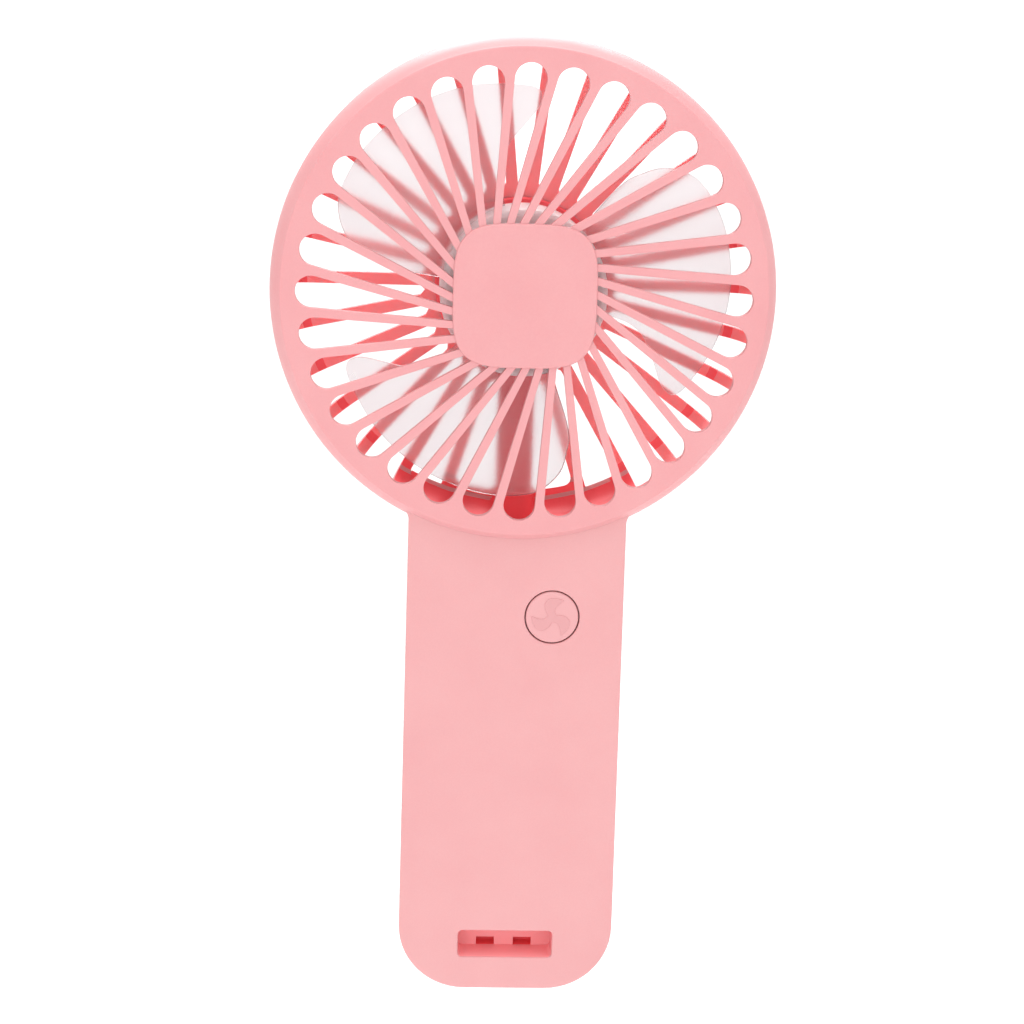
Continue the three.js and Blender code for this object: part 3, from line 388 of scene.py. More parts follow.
def drawn_metal():
    """Stretched draw lines and faint tarnish on metal."""
    group, enter, leave = new_group(
        "drawn_metal",
        [("Colour", "NodeSocketColor", (1, 1, 1, 1)), ("Tarnish", "NodeSocketColor", (1, 1, 1, 1)),
         ("Roughness", "NodeSocketFloat", 0.3)],
        [("Colour", "NodeSocketColor"), ("Roughness", "NodeSocketFloat"),
         ("Height", "NodeSocketFloat")])
    nodes, links = group.nodes, group.links
    place = nodes.new("ShaderNodeTexCoord")
    stretch = nodes.new("ShaderNodeMapping")
    stretch.inputs["Scale"].default_value = (1.0, 0.12, 1.0)
    links.new(place.outputs["Object"], stretch.inputs["Vector"])
    lines = nodes.new("ShaderNodeTexNoise")
    lines.inputs["Scale"].default_value = 5200.0
    lines.inputs["Detail"].default_value = 2.0
    links.new(stretch.outputs["Vector"], lines.inputs["Vector"])
    stain = nodes.new("ShaderNodeTexNoise")
    stain.inputs["Scale"].default_value = 260.0
    stain.inputs["Detail"].default_value = 5.0
    links.new(place.outputs["Object"], stain.inputs["Vector"])
    cover = nodes.new("ShaderNodeMapRange")
    cover.inputs["From Min"].default_value = 0.45
    cover.inputs["From Max"].default_value = 0.75
    links.new(stain.outputs["Fac"], cover.inputs["Value"])
    tint = nodes.new("ShaderNodeMix")
    tint.data_type = "RGBA"
    links.new(cover.outputs["Result"], tint.inputs["Factor"])
    links.new(enter.outputs["Colour"], tint.inputs["A"])
    links.new(enter.outputs["Tarnish"], tint.inputs["B"])
    links.new(tint.outputs["Result"], leave.inputs["Colour"])
    rough = nodes.new("ShaderNodeMath")
    rough.operation = "MULTIPLY_ADD"
    rough.inputs[1].default_value = 0.18
    links.new(lines.outputs["Fac"], rough.inputs[0])
    links.new(enter.outputs["Roughness"], rough.inputs[2])
    links.new(rough.outputs[0], leave.inputs["Roughness"])
    links.new(lines.outputs["Fac"], leave.inputs["Height"])
    return group


GRAIN = moulded_grain()
METAL = drawn_metal()


def finish_from(group, name, values, bump, bump_depth, metallic=0.0):
    """A material whose colour, roughness and bump come from a finish group."""
    material = bpy.data.materials.new(name)
    material.use_nodes = True
    nodes, links = material.node_tree.nodes, material.node_tree.links
    shader = nodes["Principled BSDF"]
    shader.inputs["Metallic"].default_value = metallic
    finish = nodes.new("ShaderNodeGroup")
    finish.node_tree = group
    for label, value in values.items():
        finish.inputs[label].default_value = value
    relief = nodes.new("ShaderNodeBump")
    relief.inputs["Strength"].default_value = bump
    relief.inputs["Distance"].default_value = bump_depth
    links.new(finish.outputs["Colour"], shader.inputs["Base Color"])
    links.new(finish.outputs["Roughness"], shader.inputs["Roughness"])
    links.new(finish.outputs["Height"], relief.inputs["Height"])
    links.new(relief.outputs["Normal"], shader.inputs["Normal"])
    return material, shader


def plastic(name, colour, deep, roughness=0.5, grain=4000.0, variation=0.5, bump=0.25,
            bump_depth=0.00004):
    return finish_from(GRAIN, name, {
        "Colour": (*colour, 1), "Deep Colour": (*deep, 1), "Grain Scale": grain,
        "Roughness": roughness, "Variation": variation,
    }, bump, bump_depth)


def metal(name, colour, tarnish, roughness=0.3):
    return finish_from(METAL, name, {
        "Colour": (*colour, 1), "Tarnish": (*tarnish, 1), "Roughness": roughness,
    }, 0.15, 0.00002, metallic=1.0)[0]


def pink(name, colour, deep, grain=2600.0, spread=0.12, depth=0.0012, side=0.35):
    """Pink moulding. Light spreads through the wall: spread is how much of it, depth how far red
    light goes in metres, and side how far green and blue go as a share of that."""
    material, shader = plastic(name, colour, deep, 0.5, grain, variation=0.9, bump=0.35,
                               bump_depth=0.00003)
    shader.inputs["Subsurface Weight"].default_value = spread
    shader.inputs["Subsurface Radius"].default_value = (1.0, side, side)
    shader.inputs["Subsurface Scale"].default_value = depth
    shader.inputs["Specular IOR Level"].default_value = 0.35
    return material


PINK_COVER = pink("pink_cover_plastic", (0.73, 0.363, 0.37), (0.655, 0.262, 0.275))
PINK_HANDLE = pink("pink_handle_plastic", (0.725, 0.388, 0.39), (0.65, 0.285, 0.295))
PINK_REAR = pink("pink_rear_plastic", (0.86, 0.345, 0.355), (0.83, 0.305, 0.32), spread=0.9,
                 depth=0.0026, side=0.07)
# Painted shade: deep red for faces inside the head, behind the recess windows and on the duct, in place of
# their shade and the red light bounced among the pink walls.
PINK_PAINTED_INNER_SHADE = pink("pink_inner_painted_shade", (0.98, 0.125, 0.145), (0.96, 0.10, 0.12), 2600.0, 0.1)
# Painted light: a brighter, redder pink for the faces inside the button recess, in place of the red light
# bounced and scattered there.
PINK_RECESS_PAINTED_BOUNCE = pink("pink_recess_painted_bounce", (0.95, 0.40, 0.415), (0.92, 0.35, 0.365), 2600.0, 0.1)
PINK_BUTTON = pink("pink_button_plastic", (0.70, 0.362, 0.368), (0.675, 0.33, 0.337), 3200.0, 0.05)
PINK_SWIRL = pink("pink_swirl_plastic", (0.66, 0.327, 0.334), (0.635, 0.298, 0.306), 3200.0, 0.05)


def paint_rim_shade(material):
    """Painted shade: the clear plastic's colour is mixed towards grey where its surface turns away from the
    view, in place of the darker edges that refraction and reflection give.
    """
    nodes, links = material.node_tree.nodes, material.node_tree.links
    socket = nodes["Principled BSDF"].inputs["Base Color"]
    colour = socket.links[0].from_socket
    turned = nodes.new("ShaderNodeLayerWeight")
    turned.inputs["Blend"].default_value = 0.45
    rim = nodes.new("ShaderNodeMapRange")
    rim.inputs["From Min"].default_value = 0.35
    rim.inputs["From Max"].default_value = 0.8
    links.new(turned.outputs["Facing"], rim.inputs["Value"])
    mixed = nodes.new("ShaderNodeMix")
    mixed.data_type = "RGBA"
    mixed.inputs["B"].default_value = (0.45, 0.33, 0.34, 1)
    links.new(rim.outputs["Result"], mixed.inputs["Factor"])
    links.new(colour, mixed.inputs["A"])
    links.new(mixed.outputs["Result"], socket)


def clear(name, colour, deep, roughness, through):
    material, shader = plastic(name, colour, deep, roughness, 1800.0, variation=0.5, bump=0.15,
                               bump_depth=0.00002)
    shader.inputs["Transmission Weight"].default_value = through
    shader.inputs["IOR"].default_value = 1.33
    return material


CLEAR = clear("frosted_clear_plastic", (0.865, 0.825, 0.835), (0.825, 0.775, 0.79), 0.24, 0.9)
MILKY = clear("milky_hub_plastic", (0.94, 0.90, 0.905), (0.90, 0.85, 0.86), 0.34, 0.15)
MILKY_SHADER = MILKY.node_tree.nodes["Principled BSDF"]
MILKY_SHADER.inputs["Subsurface Weight"].default_value = 0.5
MILKY_SHADER.inputs["Subsurface Radius"].default_value = (1.0, 0.85, 0.85)
MILKY_SHADER.inputs["Subsurface Scale"].default_value = 0.002
# Painted grey shade on the clear blades where they turn away from the view.
paint_rim_shade(CLEAR)


# ---------------------------------------------------------------- front grille cover

def spoke(index):
    """Angle, direction and left-hand normal of one spoke."""
    lean = math.asin(SPOKE_OFFSET / (SLOT_TIP - 3))
    turn = (index + 0.5) * 2 * math.pi / SPOKES + lean
    return turn, Vector((math.sin(turn), math.cos(turn))), Vector((-math.cos(turn), math.sin(turn)))


def on_spoke(line, radius, offset):
    """Point where a line beside a spoke's centre line crosses a circle."""
    turn, along, left = line
    off = SPOKE_OFFSET + offset
    return left * off + along * math.sqrt(radius ** 2 - off ** 2)


def slot_end(before, after):
    """Centre and radius of a slot's round outer end, which touches both spokes."""
    p, q = before[2], after[2]
    det = p.x * q.y - p.y * q.x
    low, high = 0.5, 6.0
    for _ in range(40):
        radius = (low + high) / 2
        a = SPOKE_OFFSET - SPOKE_OUTER / 2 - radius
        b = SPOKE_OFFSET + SPOKE_OUTER / 2 + radius
        centre = Vector(((a * q.y - b * p.y) / det, (b * p.x - a * q.x) / det))
        if centre.length + radius > SLOT_TIP:
            high = radius
        else:
            low = radius
    return centre, radius


def slot_side(centre, radius, line, side, steps=9):
    """Points from a slot's root along one spoke and round to the slot's tip."""
    reach = centre.normalized()
    start = -side * line[2]
    first = math.atan2(start.y, start.x)
    last = math.atan2(reach.y, reach.x)
    while side * (last - first) < 0:
        last += side * 2 * math.pi
    points = [on_spoke(line, SPOKE_ROOT, side * SPOKE_INNER / 2)]
    for i in range(steps + 1):
        turn = first + (last - first) * i / steps
        points.append(centre + radius * Vector((math.cos(turn), math.sin(turn))))
    return points


def rim_points(start, end, steps=3):
    """Points on the face's edge from one direction to another."""
    first, last = math.atan2(start.x, start.y), math.atan2(end.x, end.y)
    return [polar(FACE_FLAT, math.degrees(first + (last - first) * i / steps))
            for i in range(steps + 1)]


def cover_radius(y):
    start = FACE + FACE_ROUND
    share = min(1.0, max(0.0, (y - start) / (COVER_BACK - start)))
    return HEAD_RADIUS - CROWN * (1 - share) ** 3


def follow_profile(bm, edges, profile):
    """Carries a round edge loop along a profile of (radius, y) points."""
    for radius, y in profile:
        made = bmesh.ops.extrude_edge_only(bm, edges=edges)["geom"]
        fresh = {v for v in made if isinstance(v, bmesh.types.BMVert)}
        for vert in fresh:
            set_radius(vert, radius, y)
        edges = [e for e in made if isinstance(e, bmesh.types.BMEdge) and set(e.verts) <= fresh]


def front_grille():
    bm = bmesh.new()
    before, after = spoke(-1), spoke(0)
    centre, radius = slot_end(before, after)
    tip = centre.normalized()
    for line, side in ((after, 1), (before, -1)):
        edge = slot_side(centre, radius, line, side)
        outer = on_spoke(line, FACE_FLAT, 0)
        inner = on_spoke(line, SPOKE_ROOT, 0)
        ring = edge + rim_points(tip, outer) + [inner]
        ngon(bm, [at(p, FACE) for p in ring])
    wedge = [Vector((0, 0)), on_spoke(after, SPOKE_ROOT, 0), on_spoke(after, SPOKE_ROOT, SPOKE_INNER / 2),
             on_spoke(before, SPOKE_ROOT, -SPOKE_INNER / 2), on_spoke(before, SPOKE_ROOT, 0)]
    ngon(bm, [at(p, FACE) for p in wedge])
    merge(bm)
    bmesh.ops.spin(bm, geom=bm.verts[:] + bm.edges[:] + bm.faces[:], cent=HEAD, axis=(0, 1, 0),
                   angle=2 * math.pi * (SPOKES - 1) / SPOKES, steps=SPOKES - 1, use_duplicate=True)
    merge(bm)
    thicken(bm, bm.faces[:], WALL)
    bmesh.ops.recalc_face_normals(bm, faces=bm.faces)
    rim = [f for f in bm.faces if faces_side(f)
           and all(abs(head_radius(v.co) - FACE_FLAT) < 0.01 for v in f.verts)]
    bmesh.ops.delete(bm, geom=rim, context="FACES_ONLY")
    loop = [e for e in bm.edges if e.is_boundary and e.verts[0].co.y < FACE + 0.1]
    turned = arc((FACE_FLAT, FACE + FACE_ROUND), FACE_ROUND, -90, 0, 8)[1:]
    depths = [FACE + FACE_ROUND + (COVER_BACK - FACE - FACE_ROUND) * i / 7 for i in range(1, 8)]
    side = [(cover_radius(y), y) for y in depths]
    inside = [(cover_radius(y) - WALL, y) for y in reversed(depths)]
    edge = [(HEAD_RADIUS - 0.15, COVER_BACK)]
    side[-1] = (cover_radius(COVER_BACK - 0.15), COVER_BACK - 0.15)
    follow_profile(bm, loop, turned + side + edge + inside + [(FACE_FLAT, FACE + WALL)])
    merge(bm)
    bmesh.ops.recalc_face_normals(bm, faces=bm.faces)
    near = [e for e in edges_between(bm, faces_front, faces_side)
            if head_radius(e.verts[0].co) < FACE_FLAT - 1]
    soften(bm, near, 0.62, 4)
    far = [e for e in edges_between(bm, faces_back, faces_side)
           if head_radius(e.verts[0].co) < FACE_FLAT - 1]
    soften(bm, far, 0.25, 2)
    boss = bmesh.ops.create_circle(bm, segments=128, radius=1, cap_ends=True)["verts"]
    for vert in boss:
        c, s = vert.co.x, vert.co.y
        grow = BOSS_HALF * (abs(c) ** BOSS_POWER + abs(s) ** BOSS_POWER) ** (-1 / BOSS_POWER)
        vert.co = HEAD + Vector((c * grow, FRONT, s * grow))
    cap = next(f for f in boss[0].link_faces)
    thicken(bm, [cap], BOSS_RISE + 0.5)
    top = [e for e in bm.edges if all(abs(v.co.y - FRONT) < 0.001 for v in e.verts)]
    soften(bm, top, 0.42, 4)
    finish_piece("grille_cover", bm, "housing", ["front_grille"], [PINK_COVER])


# ---------------------------------------------------------------- handle halves

def handle_outline(inset=0.0, roof=0.0):
    """Outline of the handle as (x, z) pairs. It runs up into the head, or ends at a round roof."""
    neck, base, corner = NECK_HALF - inset, BASE_HALF - inset, BASE_CORNER - inset
    right = arc((base - corner, inset + corner), corner, -90, 0, 14)
    if roof:
        edge = math.degrees(math.asin(neck / roof))
        right += arc((0, HEAD.z), roof, -90 + edge, -90, 12)[:-1]
    else:
        reach, side = cover_radius(HANDLE_FRONT) + FILLET, neck + FILLET
        drop = math.sqrt(reach ** 2 - side ** 2)
        turn = math.degrees(math.atan2(drop, side))
        root = (BORE - 2 * EDGE_ROUND) / reach
        right += arc((side, HEAD.z - drop), FILLET, 180, 180 - turn, 8)
        right.append((side * root, HEAD.z - drop * root))
    return right + [(-x, z) for x, z in reversed(right)]


def handle_half(front, inset=0.0, roof=0.0, rounding=EDGE_ROUND):
    """One half of the handle as a solid: flat outer face, rounded edge, open face at the seam."""
    way = -1 if front else 1
    plate = way * (HANDLE_BACK - inset)
    seam = way * SEAM if not inset else -way
    bm = bmesh.new()
    face = ngon(bm, [Vector((x, plate, z)) for x, z in handle_outline(inset, roof)])
    bm.normal_update()
    thicken(bm, [face], seam - plate)
    edges = [e for e in bm.edges if all(abs(v.co.y - plate) < 0.001 for v in e.verts)]
    soften(bm, edges, rounding, 8 if not inset else 1)
    bmesh.ops.recalc_face_normals(bm, faces=bm.faces)
    return bm


def lathe(profile, steps=192, centre=HEAD):
    bm = bmesh.new()
    spun(bm, profile, steps, centre)
    bmesh.ops.recalc_face_normals(bm, faces=bm.faces)
    return bm


def block(low, high):
    bm = bmesh.new()
    box(bm, low, high)
    return bm


def rounded_pocket(half, low, high, front, back, radius):
    """A box cutter whose four edges along Y are rounded."""
    bm = block((-half, front, low), (half, back, high))
    bm.normal_update()
    along = [e for e in bm.edges if abs(e.verts[0].co.y - e.verts[1].co.y) > 0.5]
    soften(bm, along, radius, 5)
    return bm


def rod(x, z, radius, y0, y1, steps=64):
    return lathe([(0, y0), (radius, y0), (radius, y1), (0, y1)], steps, Vector((x, 0, z)))


def cover_pocket():
    """Everything in front of the ring that the cover fills, and the bore behind it."""
    gap = -0.03
    depths = [HANDLE_FRONT - 0.6 + (COVER_BACK - HANDLE_FRONT + 0.6) * i / 8 for i in range(9)]
    side = [(cover_radius(y) + gap, y) for y in depths]
    floor = COVER_BACK + 2 * SEAM
    return lathe([(0, FRONT - 3), (side[0][0], FRONT - 3)] + side
                 + [(HEAD_RADIUS + gap, floor), (BORE, floor), (BORE, 5), (0, 5)])


def head_bore():
    """Room inside the rear dish."""
    bend = REAR - REAR_ROUND
    return lathe([(0, -8), (BORE, -8)] + arc((REAR_FLAT, bend), REAR_ROUND - WALL, 0, 90, 10)
                 + [(0, PLATE)])


def cut_plate(bm, heights):
    """Splits the flat plate at the heights of its holes, so that no hole lies inside one face."""
    for z in heights:
        bmesh.ops.bisect_plane(bm, geom=bm.verts[:] + bm.edges[:] + bm.faces[:], dist=0.0001,
                               plane_co=(0, 0, z), plane_no=(0, 0, 1))


def port_cutter():
    low, high = span("port_shell")
    return block((low.x + 4, low.y - 0.2, low.z - 0.2), (high.x + 6, high.y + 0.2, high.z + 0.2))


def front_material(centre, normal):
    """Deeper red painted inside the head and behind the windows in place of their shade and bounced red
    light, a brighter painted pink in the recess in place of the light bounced there, plain outside.
    """
    if faces_axis(centre, normal):
        return PINK_PAINTED_INNER_SHADE if centre.z < NECK_TOP else PINK_REAR
    if in_recess(centre):
        return PINK_PAINTED_INNER_SHADE if centre.y > RECESS_BACK + 0.3 else PINK_RECESS_PAINTED_BOUNCE
    return PINK_HANDLE


def front_shell():
    solid = handle_half(True)
    cut_plate(solid, [BUTTON.z, (RECESS_LOW + RECESS_HIGH) / 2])
    hollow = handle_half(True, WALL, HEAD_RADIUS + WALL, 1.4)
    solid = combine(solid, [hollow, cover_pocket()])
    tray = block((-RECESS_HALF - WALL, HANDLE_FRONT + WALL / 2, RECESS_LOW - WALL),
                 (RECESS_HALF + WALL, -0.15, RECESS_HIGH + WALL))
    solid = combine(solid, [tray], "UNION")
    mouth = rounded_pocket(RECESS_HALF, RECESS_LOW, RECESS_HIGH, HANDLE_FRONT - 2, RECESS_BACK, 1.0)
    windows = [block((x, RECESS_BACK - 0.5, RECESS_LOW),
                     (x + WINDOW_WIDTH, RECESS_BACK + 2.9, RECESS_LOW + WINDOW_HEIGHT))
               for x in WINDOW_LEFTS]
    hole = rod(BUTTON.x, BUTTON.z, BUTTON_RADIUS + 0.25, HANDLE_FRONT - 1, HANDLE_FRONT + 2 * WALL)
    solid = combine(solid, [mouth, *windows, hole, port_cutter()])
    bmesh.ops.recalc_face_normals(solid, faces=solid.faces)
    soften(solid, mouth_edges(solid, faces_front, HANDLE_FRONT, lambda p: p.z < 2 * RECESS_HIGH), 0.45, 4)
    around_button = mouth_edges(solid, faces_front, HANDLE_FRONT, lambda p: abs(p.z - BUTTON.z) < 8)
    soften(solid, around_button, 0.28, 3)
    spigot = COVER_BACK - 4.5
    inner = BORE - 1.65
    fit = WALL + 0.25
    spun(solid, [(inner, spigot), (cover_radius(spigot) - fit, spigot), (HEAD_RADIUS - fit, COVER_BACK),
                 (HEAD_RADIUS - fit, COVER_BACK + 0.15), (HEAD_RADIUS - 0.15, COVER_BACK + 0.15),
                 (HEAD_RADIUS, COVER_BACK + 0.3), (HEAD_RADIUS, -0.2), (HEAD_RADIUS - 0.12, -SEAM),
                 (BORE, -SEAM), (BORE, COVER_BACK + 2), (inner, COVER_BACK + 1)], closed=True)
    spun(solid, [(BORE + 0.5, -1), (BORE + 1.3, -1), (BORE + 1.3, 1), (BORE + 0.5, 1)], closed=True)
    finish_piece("handle_front", solid, "housing", ["front_shell"],
                 [PINK_HANDLE, PINK_PAINTED_INNER_SHADE, PINK_RECESS_PAINTED_BOUNCE, PINK_REAR], front_material)


# ---------------------------------------------------------------- rear dish

WRAP_END = REAR_FLAT + REAR_ROUND * math.pi / 2
DISH_END = WRAP_END + REAR - REAR_ROUND - SEAM


def beside(angle, offset, radius):
    """Point on a line parallel to a radial line, offset to its right."""
    along = polar(1, angle)
    reach = math.sqrt(radius ** 2 - offset ** 2)
    return Vector((along.x * reach + along.y * offset, along.y * reach - along.x * offset))


def unrolled(radius):
    """Distance from the axis along the dish's skin for a radius on its rounded corner."""
    if radius <= REAR_FLAT:
        return radius
    return REAR_FLAT + REAR_ROUND * math.asin((radius - REAR_FLAT) / REAR_ROUND)


def dish_half_sector(bm, index, side):
    """The skin between a slot's centre line and the bar or duct beside it, laid out flat."""
    pitch = 360 / BARS
    centre = index * pitch
    from_duct = abs(index - BARS // 2)
    beside_duct = from_duct == 1 and side * (BARS // 2 - index) > 0
    line = 180 if beside_duct else centre + side * pitch / 2
    half = DUCT_HALF if beside_duct else BAR_HALF
    inner = REAR_HUB + (1.5 if from_duct == 1 else 0)
    outer = unrolled({1: 46.4, 2: 49.45}[from_duct]) if from_duct < 3 else WRAP_END + 1
    corner = 2.0
    away = -side * half
    points = [Vector((0, 0)), polar(inner, centre), beside(line, away, inner + 1.0),
              beside(line, away, outer - corner)]
    for turn in (22.5, 45, 67.5):
        slip = corner * (1 - math.cos(math.radians(turn)))
        rise = corner * (1 - math.sin(math.radians(turn)))
        points.append(beside(line, away - side * slip, outer - rise))
    points.append(beside(line, away - side * corner, outer))
    points += [polar(outer, centre), polar(DISH_END, centre)]
    middle = (centre + line) / 2
    points += [polar(DISH_END, middle), polar(DISH_END, line)]
    face = ngon(bm, [at(p, REAR) for p in points])
    along = polar(1, centre)
    cuts = [REAR_FLAT + 1.26 * i for i in range(10)] + [WRAP_END + 0.01]
    geom = [face, *face.edges, *face.verts]
    for distance in cuts:
        done = bmesh.ops.bisect_plane(bm, geom=geom, dist=0.0001, plane_co=at(along * distance, REAR),
                                      plane_no=(along.x, 0, along.y))
        geom = done["geom"]
    across = polar(1, middle)
    bmesh.ops.bisect_plane(bm, geom=geom, dist=0.0001, plane_co=HEAD, plane_no=(across.y, 0, -across.x))


def wrap_dish(bm):
    """Bends the flat layout over the rounded corner and down the side wall."""
    for vert in bm.verts:
        run = head_radius(vert.co)
        deep = REAR - vert.co.y
        if run <= REAR_FLAT:
            continue
        if run < WRAP_END:
            turn = (run - REAR_FLAT) / REAR_ROUND
            radius = REAR_FLAT + (REAR_ROUND - deep) * math.sin(turn)
            y = REAR - REAR_ROUND + (REAR_ROUND - deep) * math.cos(turn)
        else:
            radius = HEAD_RADIUS - deep
            y = REAR - REAR_ROUND - (run - WRAP_END)
        set_radius(vert, radius, y)


def rear_dish():
    bm = bmesh.new()
    for index in range(BARS):
        if index != BARS // 2:
            dish_half_sector(bm, index, 1)
            dish_half_sector(bm, index, -1)
    merge(bm, 0.01)
    bm.normal_update()
    for face in bm.faces:
        if face.normal.y < 0:
            face.normal_flip()
    thicken(bm, bm.faces[:], -WALL)
    bmesh.ops.recalc_face_normals(bm, faces=bm.faces)
    inside = WRAP_END - 1
    outer = [e for e in edges_between(bm, faces_back, faces_side)
             if head_radius(e.verts[0].co) < inside]
    soften(bm, outer, 0.4, 3)
    inner = [e for e in edges_between(bm, faces_front, faces_side)
             if head_radius(e.verts[0].co) < inside]
    soften(bm, inner, 0.3, 2)
    wrap_dish(bm)
    return bm


def add_block(bm, low, high, round_by=0.3):
    made = box(bm, low, high)
    bm.normal_update()
    edges = list({e for v in made for e in v.link_edges})
    soften(bm, edges, round_by, 2)


def rear_material(centre, normal):
    """Bars that let light through, a deeper red painted inside the head in place of its shade and bounced
    red light, plain pink on the handle.
    """
    near_neck = centre.z < NECK_TOP
    radius = head_radius(centre)
    on_duct = abs(centre.x) < DUCT_HALF + 0.1 and near_neck and radius < BORE
    within = radius < BORE - 3 or on_duct or near_neck and faces_axis(centre, normal)
    if centre.y < PLATE - 0.2 and within:
        return PINK_PAINTED_INNER_SHADE
    return PINK_HANDLE if near_neck and abs(centre.x) < 30 else PINK_REAR


def rear_shell():
    solid = handle_half(False)
    screws = [span(f"housing_screw_{i}") for i in (1, 2, 3, 4)]
    places = [(low + high) / 2 for low, high in screws]
    cut_plate(solid, sorted({round(p.z, 3) for p in places}))
    hollow = handle_half(False, WALL, HEAD_RADIUS + WALL, 1.4)
    solid = combine(solid, [hollow, head_bore()])
    posts = [rod(p.x, p.z, 2.7, SEAM, HANDLE_BACK - WALL / 2, 48) for p in places]
    solid = combine(solid, posts, "UNION")
    holes = [rod(p.x, p.z, 2.15, HANDLE_BACK - 5, HANDLE_BACK + 1, 48) for p in places]
    holes += [rod(p.x, p.z, 1.15, -1, HANDLE_BACK - 4, 32) for p in places]
    solid = combine(solid, [*holes, port_cutter()])
    bmesh.ops.recalc_face_normals(solid, faces=solid.faces)
    screw_holes = mouth_edges(solid, faces_back, HANDLE_BACK, lambda p: p.z < HEAD.z - HEAD_RADIUS)
    soften(solid, screw_holes, 0.3, 3)
    absorb(solid, rear_dish())
    damper_low, damper_high = span("motor_damper")
    seat = (damper_high.x - damper_low.x) / 2 + 0.1
    root = PLATE + WALL / 2
    spun(solid, [(seat, 2.0), (seat + 1.3, 2.0), (seat + 1.3, root), (seat - 2.7, root),
                 (seat - 2.7, 10.05), (seat, 10.05)], 96, closed=True)
    spun(solid, [(HUB_RADIUS - 1, PLATE - 2.6), (HUB_RADIUS + 0.6, PLATE - 2.6),
                 (HUB_RADIUS + 0.9, PLATE - 2.3), (HUB_RADIUS + 0.9, root), (HUB_RADIUS - 1, root)],
         128, closed=True)
    wall = HEAD.z - BORE - WALL / 2
    corner = arc((REAR_FLAT, REAR - REAR_ROUND), REAR_ROUND - 0.9, 0, 90, 10)
    envelope = [(0, 0.2), (HEAD_RADIUS - 0.9, 0.2)] + corner
    for low, high in (((-DUCT_HALF, PLATE - 3.6, wall), (DUCT_HALF, root, HEAD.z - seat - 0.7)),
                      ((-DUCT_HALF, HANDLE_BACK - WALL - 5, wall),
                       (DUCT_HALF, PLATE - 2.6, HEAD.z - BLADE_REACH - 0.6))):
        web = bmesh.new()
        add_block(web, low, high)
        absorb(solid, combine(web, [lathe(envelope + [(0, root)])], "INTERSECT"))
    finish_piece("handle_rear", solid, "housing", ["rear_shell"],
                 [PINK_REAR, PINK_PAINTED_INNER_SHADE, PINK_HANDLE], rear_material)


# ---------------------------------------------------------------- impeller

BLADE_OUTLINE = [
    (-80, 0.36), (-80.5, 0.56), (-79.5, 0.7), (-77, 0.78), (-73, 0.88), (-66, 0.96), (-58, 0.988),
    (-48, 1), (-36, 1), (-25, 0.993), (-14, 0.978), (-4, 0.957), (2, 0.945), (4.2, 0.925),
    (4.8, 0.895), (4, 0.845), (0, 0.77), (-5, 0.7), (-9.5, 0.63), (-12.3, 0.56), (-13, 0.5), (-13, 0.36),
]


def smooth_outline(points, steps=4):
    """Extra points on a smooth curve through an open outline."""
    found = []
    last = len(points) - 1
    for i in range(last):
        a, b, c, d = (Vector(points[max(0, min(last, i + k))]) for k in (-1, 0, 1, 2))
        for step in range(steps):
            t = step / steps
            found.append(0.5 * (2 * b + (c - a) * t + (2 * a - 5 * b + 4 * c - d) * t ** 2
                                + (3 * b - a - 3 * c + d) * t ** 3))
    return found + [Vector(points[-1])]


def blade_depth(angle):
    return FACE + 4.8 + 15.9 * (angle + 80.5) / 85.3


def impeller():
    bm = bmesh.new()
    corners = [polar(r * BLADE_REACH, a) for a, r in BLADE_OUTLINE]
    points = smooth_outline(corners)
    for index in range(BLADES):
        turn = index * 360 / BLADES
        part = bmesh.new()
        face = ngon(part, [at(p, 0) for p in points])
        part.normal_update()
        for angle in range(-80, 5, 3):
            across = polar(1, angle)
            geom = part.verts[:] + part.edges[:] + part.faces[:]
            bmesh.ops.bisect_plane(part, geom=geom, dist=0.0001, plane_co=HEAD,
                                   plane_no=(across.y, 0, -across.x))
        thicken(part, part.faces[:], 0.9)
        bmesh.ops.recalc_face_normals(part, faces=part.faces)
        edges = edges_between(part, lambda f: abs(f.normal.y) > 0.9, faces_side)
        soften(part, edges, 0.3, 3)
        for vert in part.verts:
            angle = math.degrees(math.atan2(vert.co.x - HEAD.x, vert.co.z - HEAD.z))
            vert.co.y += blade_depth(angle) - 0.45
        bmesh.ops.rotate(part, cent=HEAD, matrix=Matrix.Rotation(math.radians(turn), 3, "Y"),
                         verts=part.verts)
        absorb(bm, part)
    front, back = FACE + 4.5, FACE + 21.5
    inner = HUB_RADIUS - 1.5
    nose = arc((HUB_RADIUS - 1.4, front + 1.4), 1.4, -90, 0, 6)
    spun(bm, [(0, front)] + nose + [(HUB_RADIUS, back - 0.2), (HUB_RADIUS - 0.2, back), (inner, back),
              (inner, front + 1.5), (3.2, front + 1.5), (3.2, -4.3), (1.06, -4.3), (1.06, front + 1.5),
              (0, front + 1.5)], 128)
    finish_piece("impeller_wheel", bm, "rotor", ["impeller"], [CLEAR, MILKY],
                 lambda centre, normal: MILKY if head_radius(centre) < HUB_RADIUS + 0.1 else CLEAR)


# ---------------------------------------------------------------- power button

SWIRL = [(1.0, -62), (1.6, -50), (2.4, -40), (3.2, -31), (3.9, -18), (4.15, -6), (4.25, 8), (4.35, 22),
         (4.45, 33), (3.7, 29), (2.8, 24), (1.9, 18), (1.3, 28), (1.0, 50)]


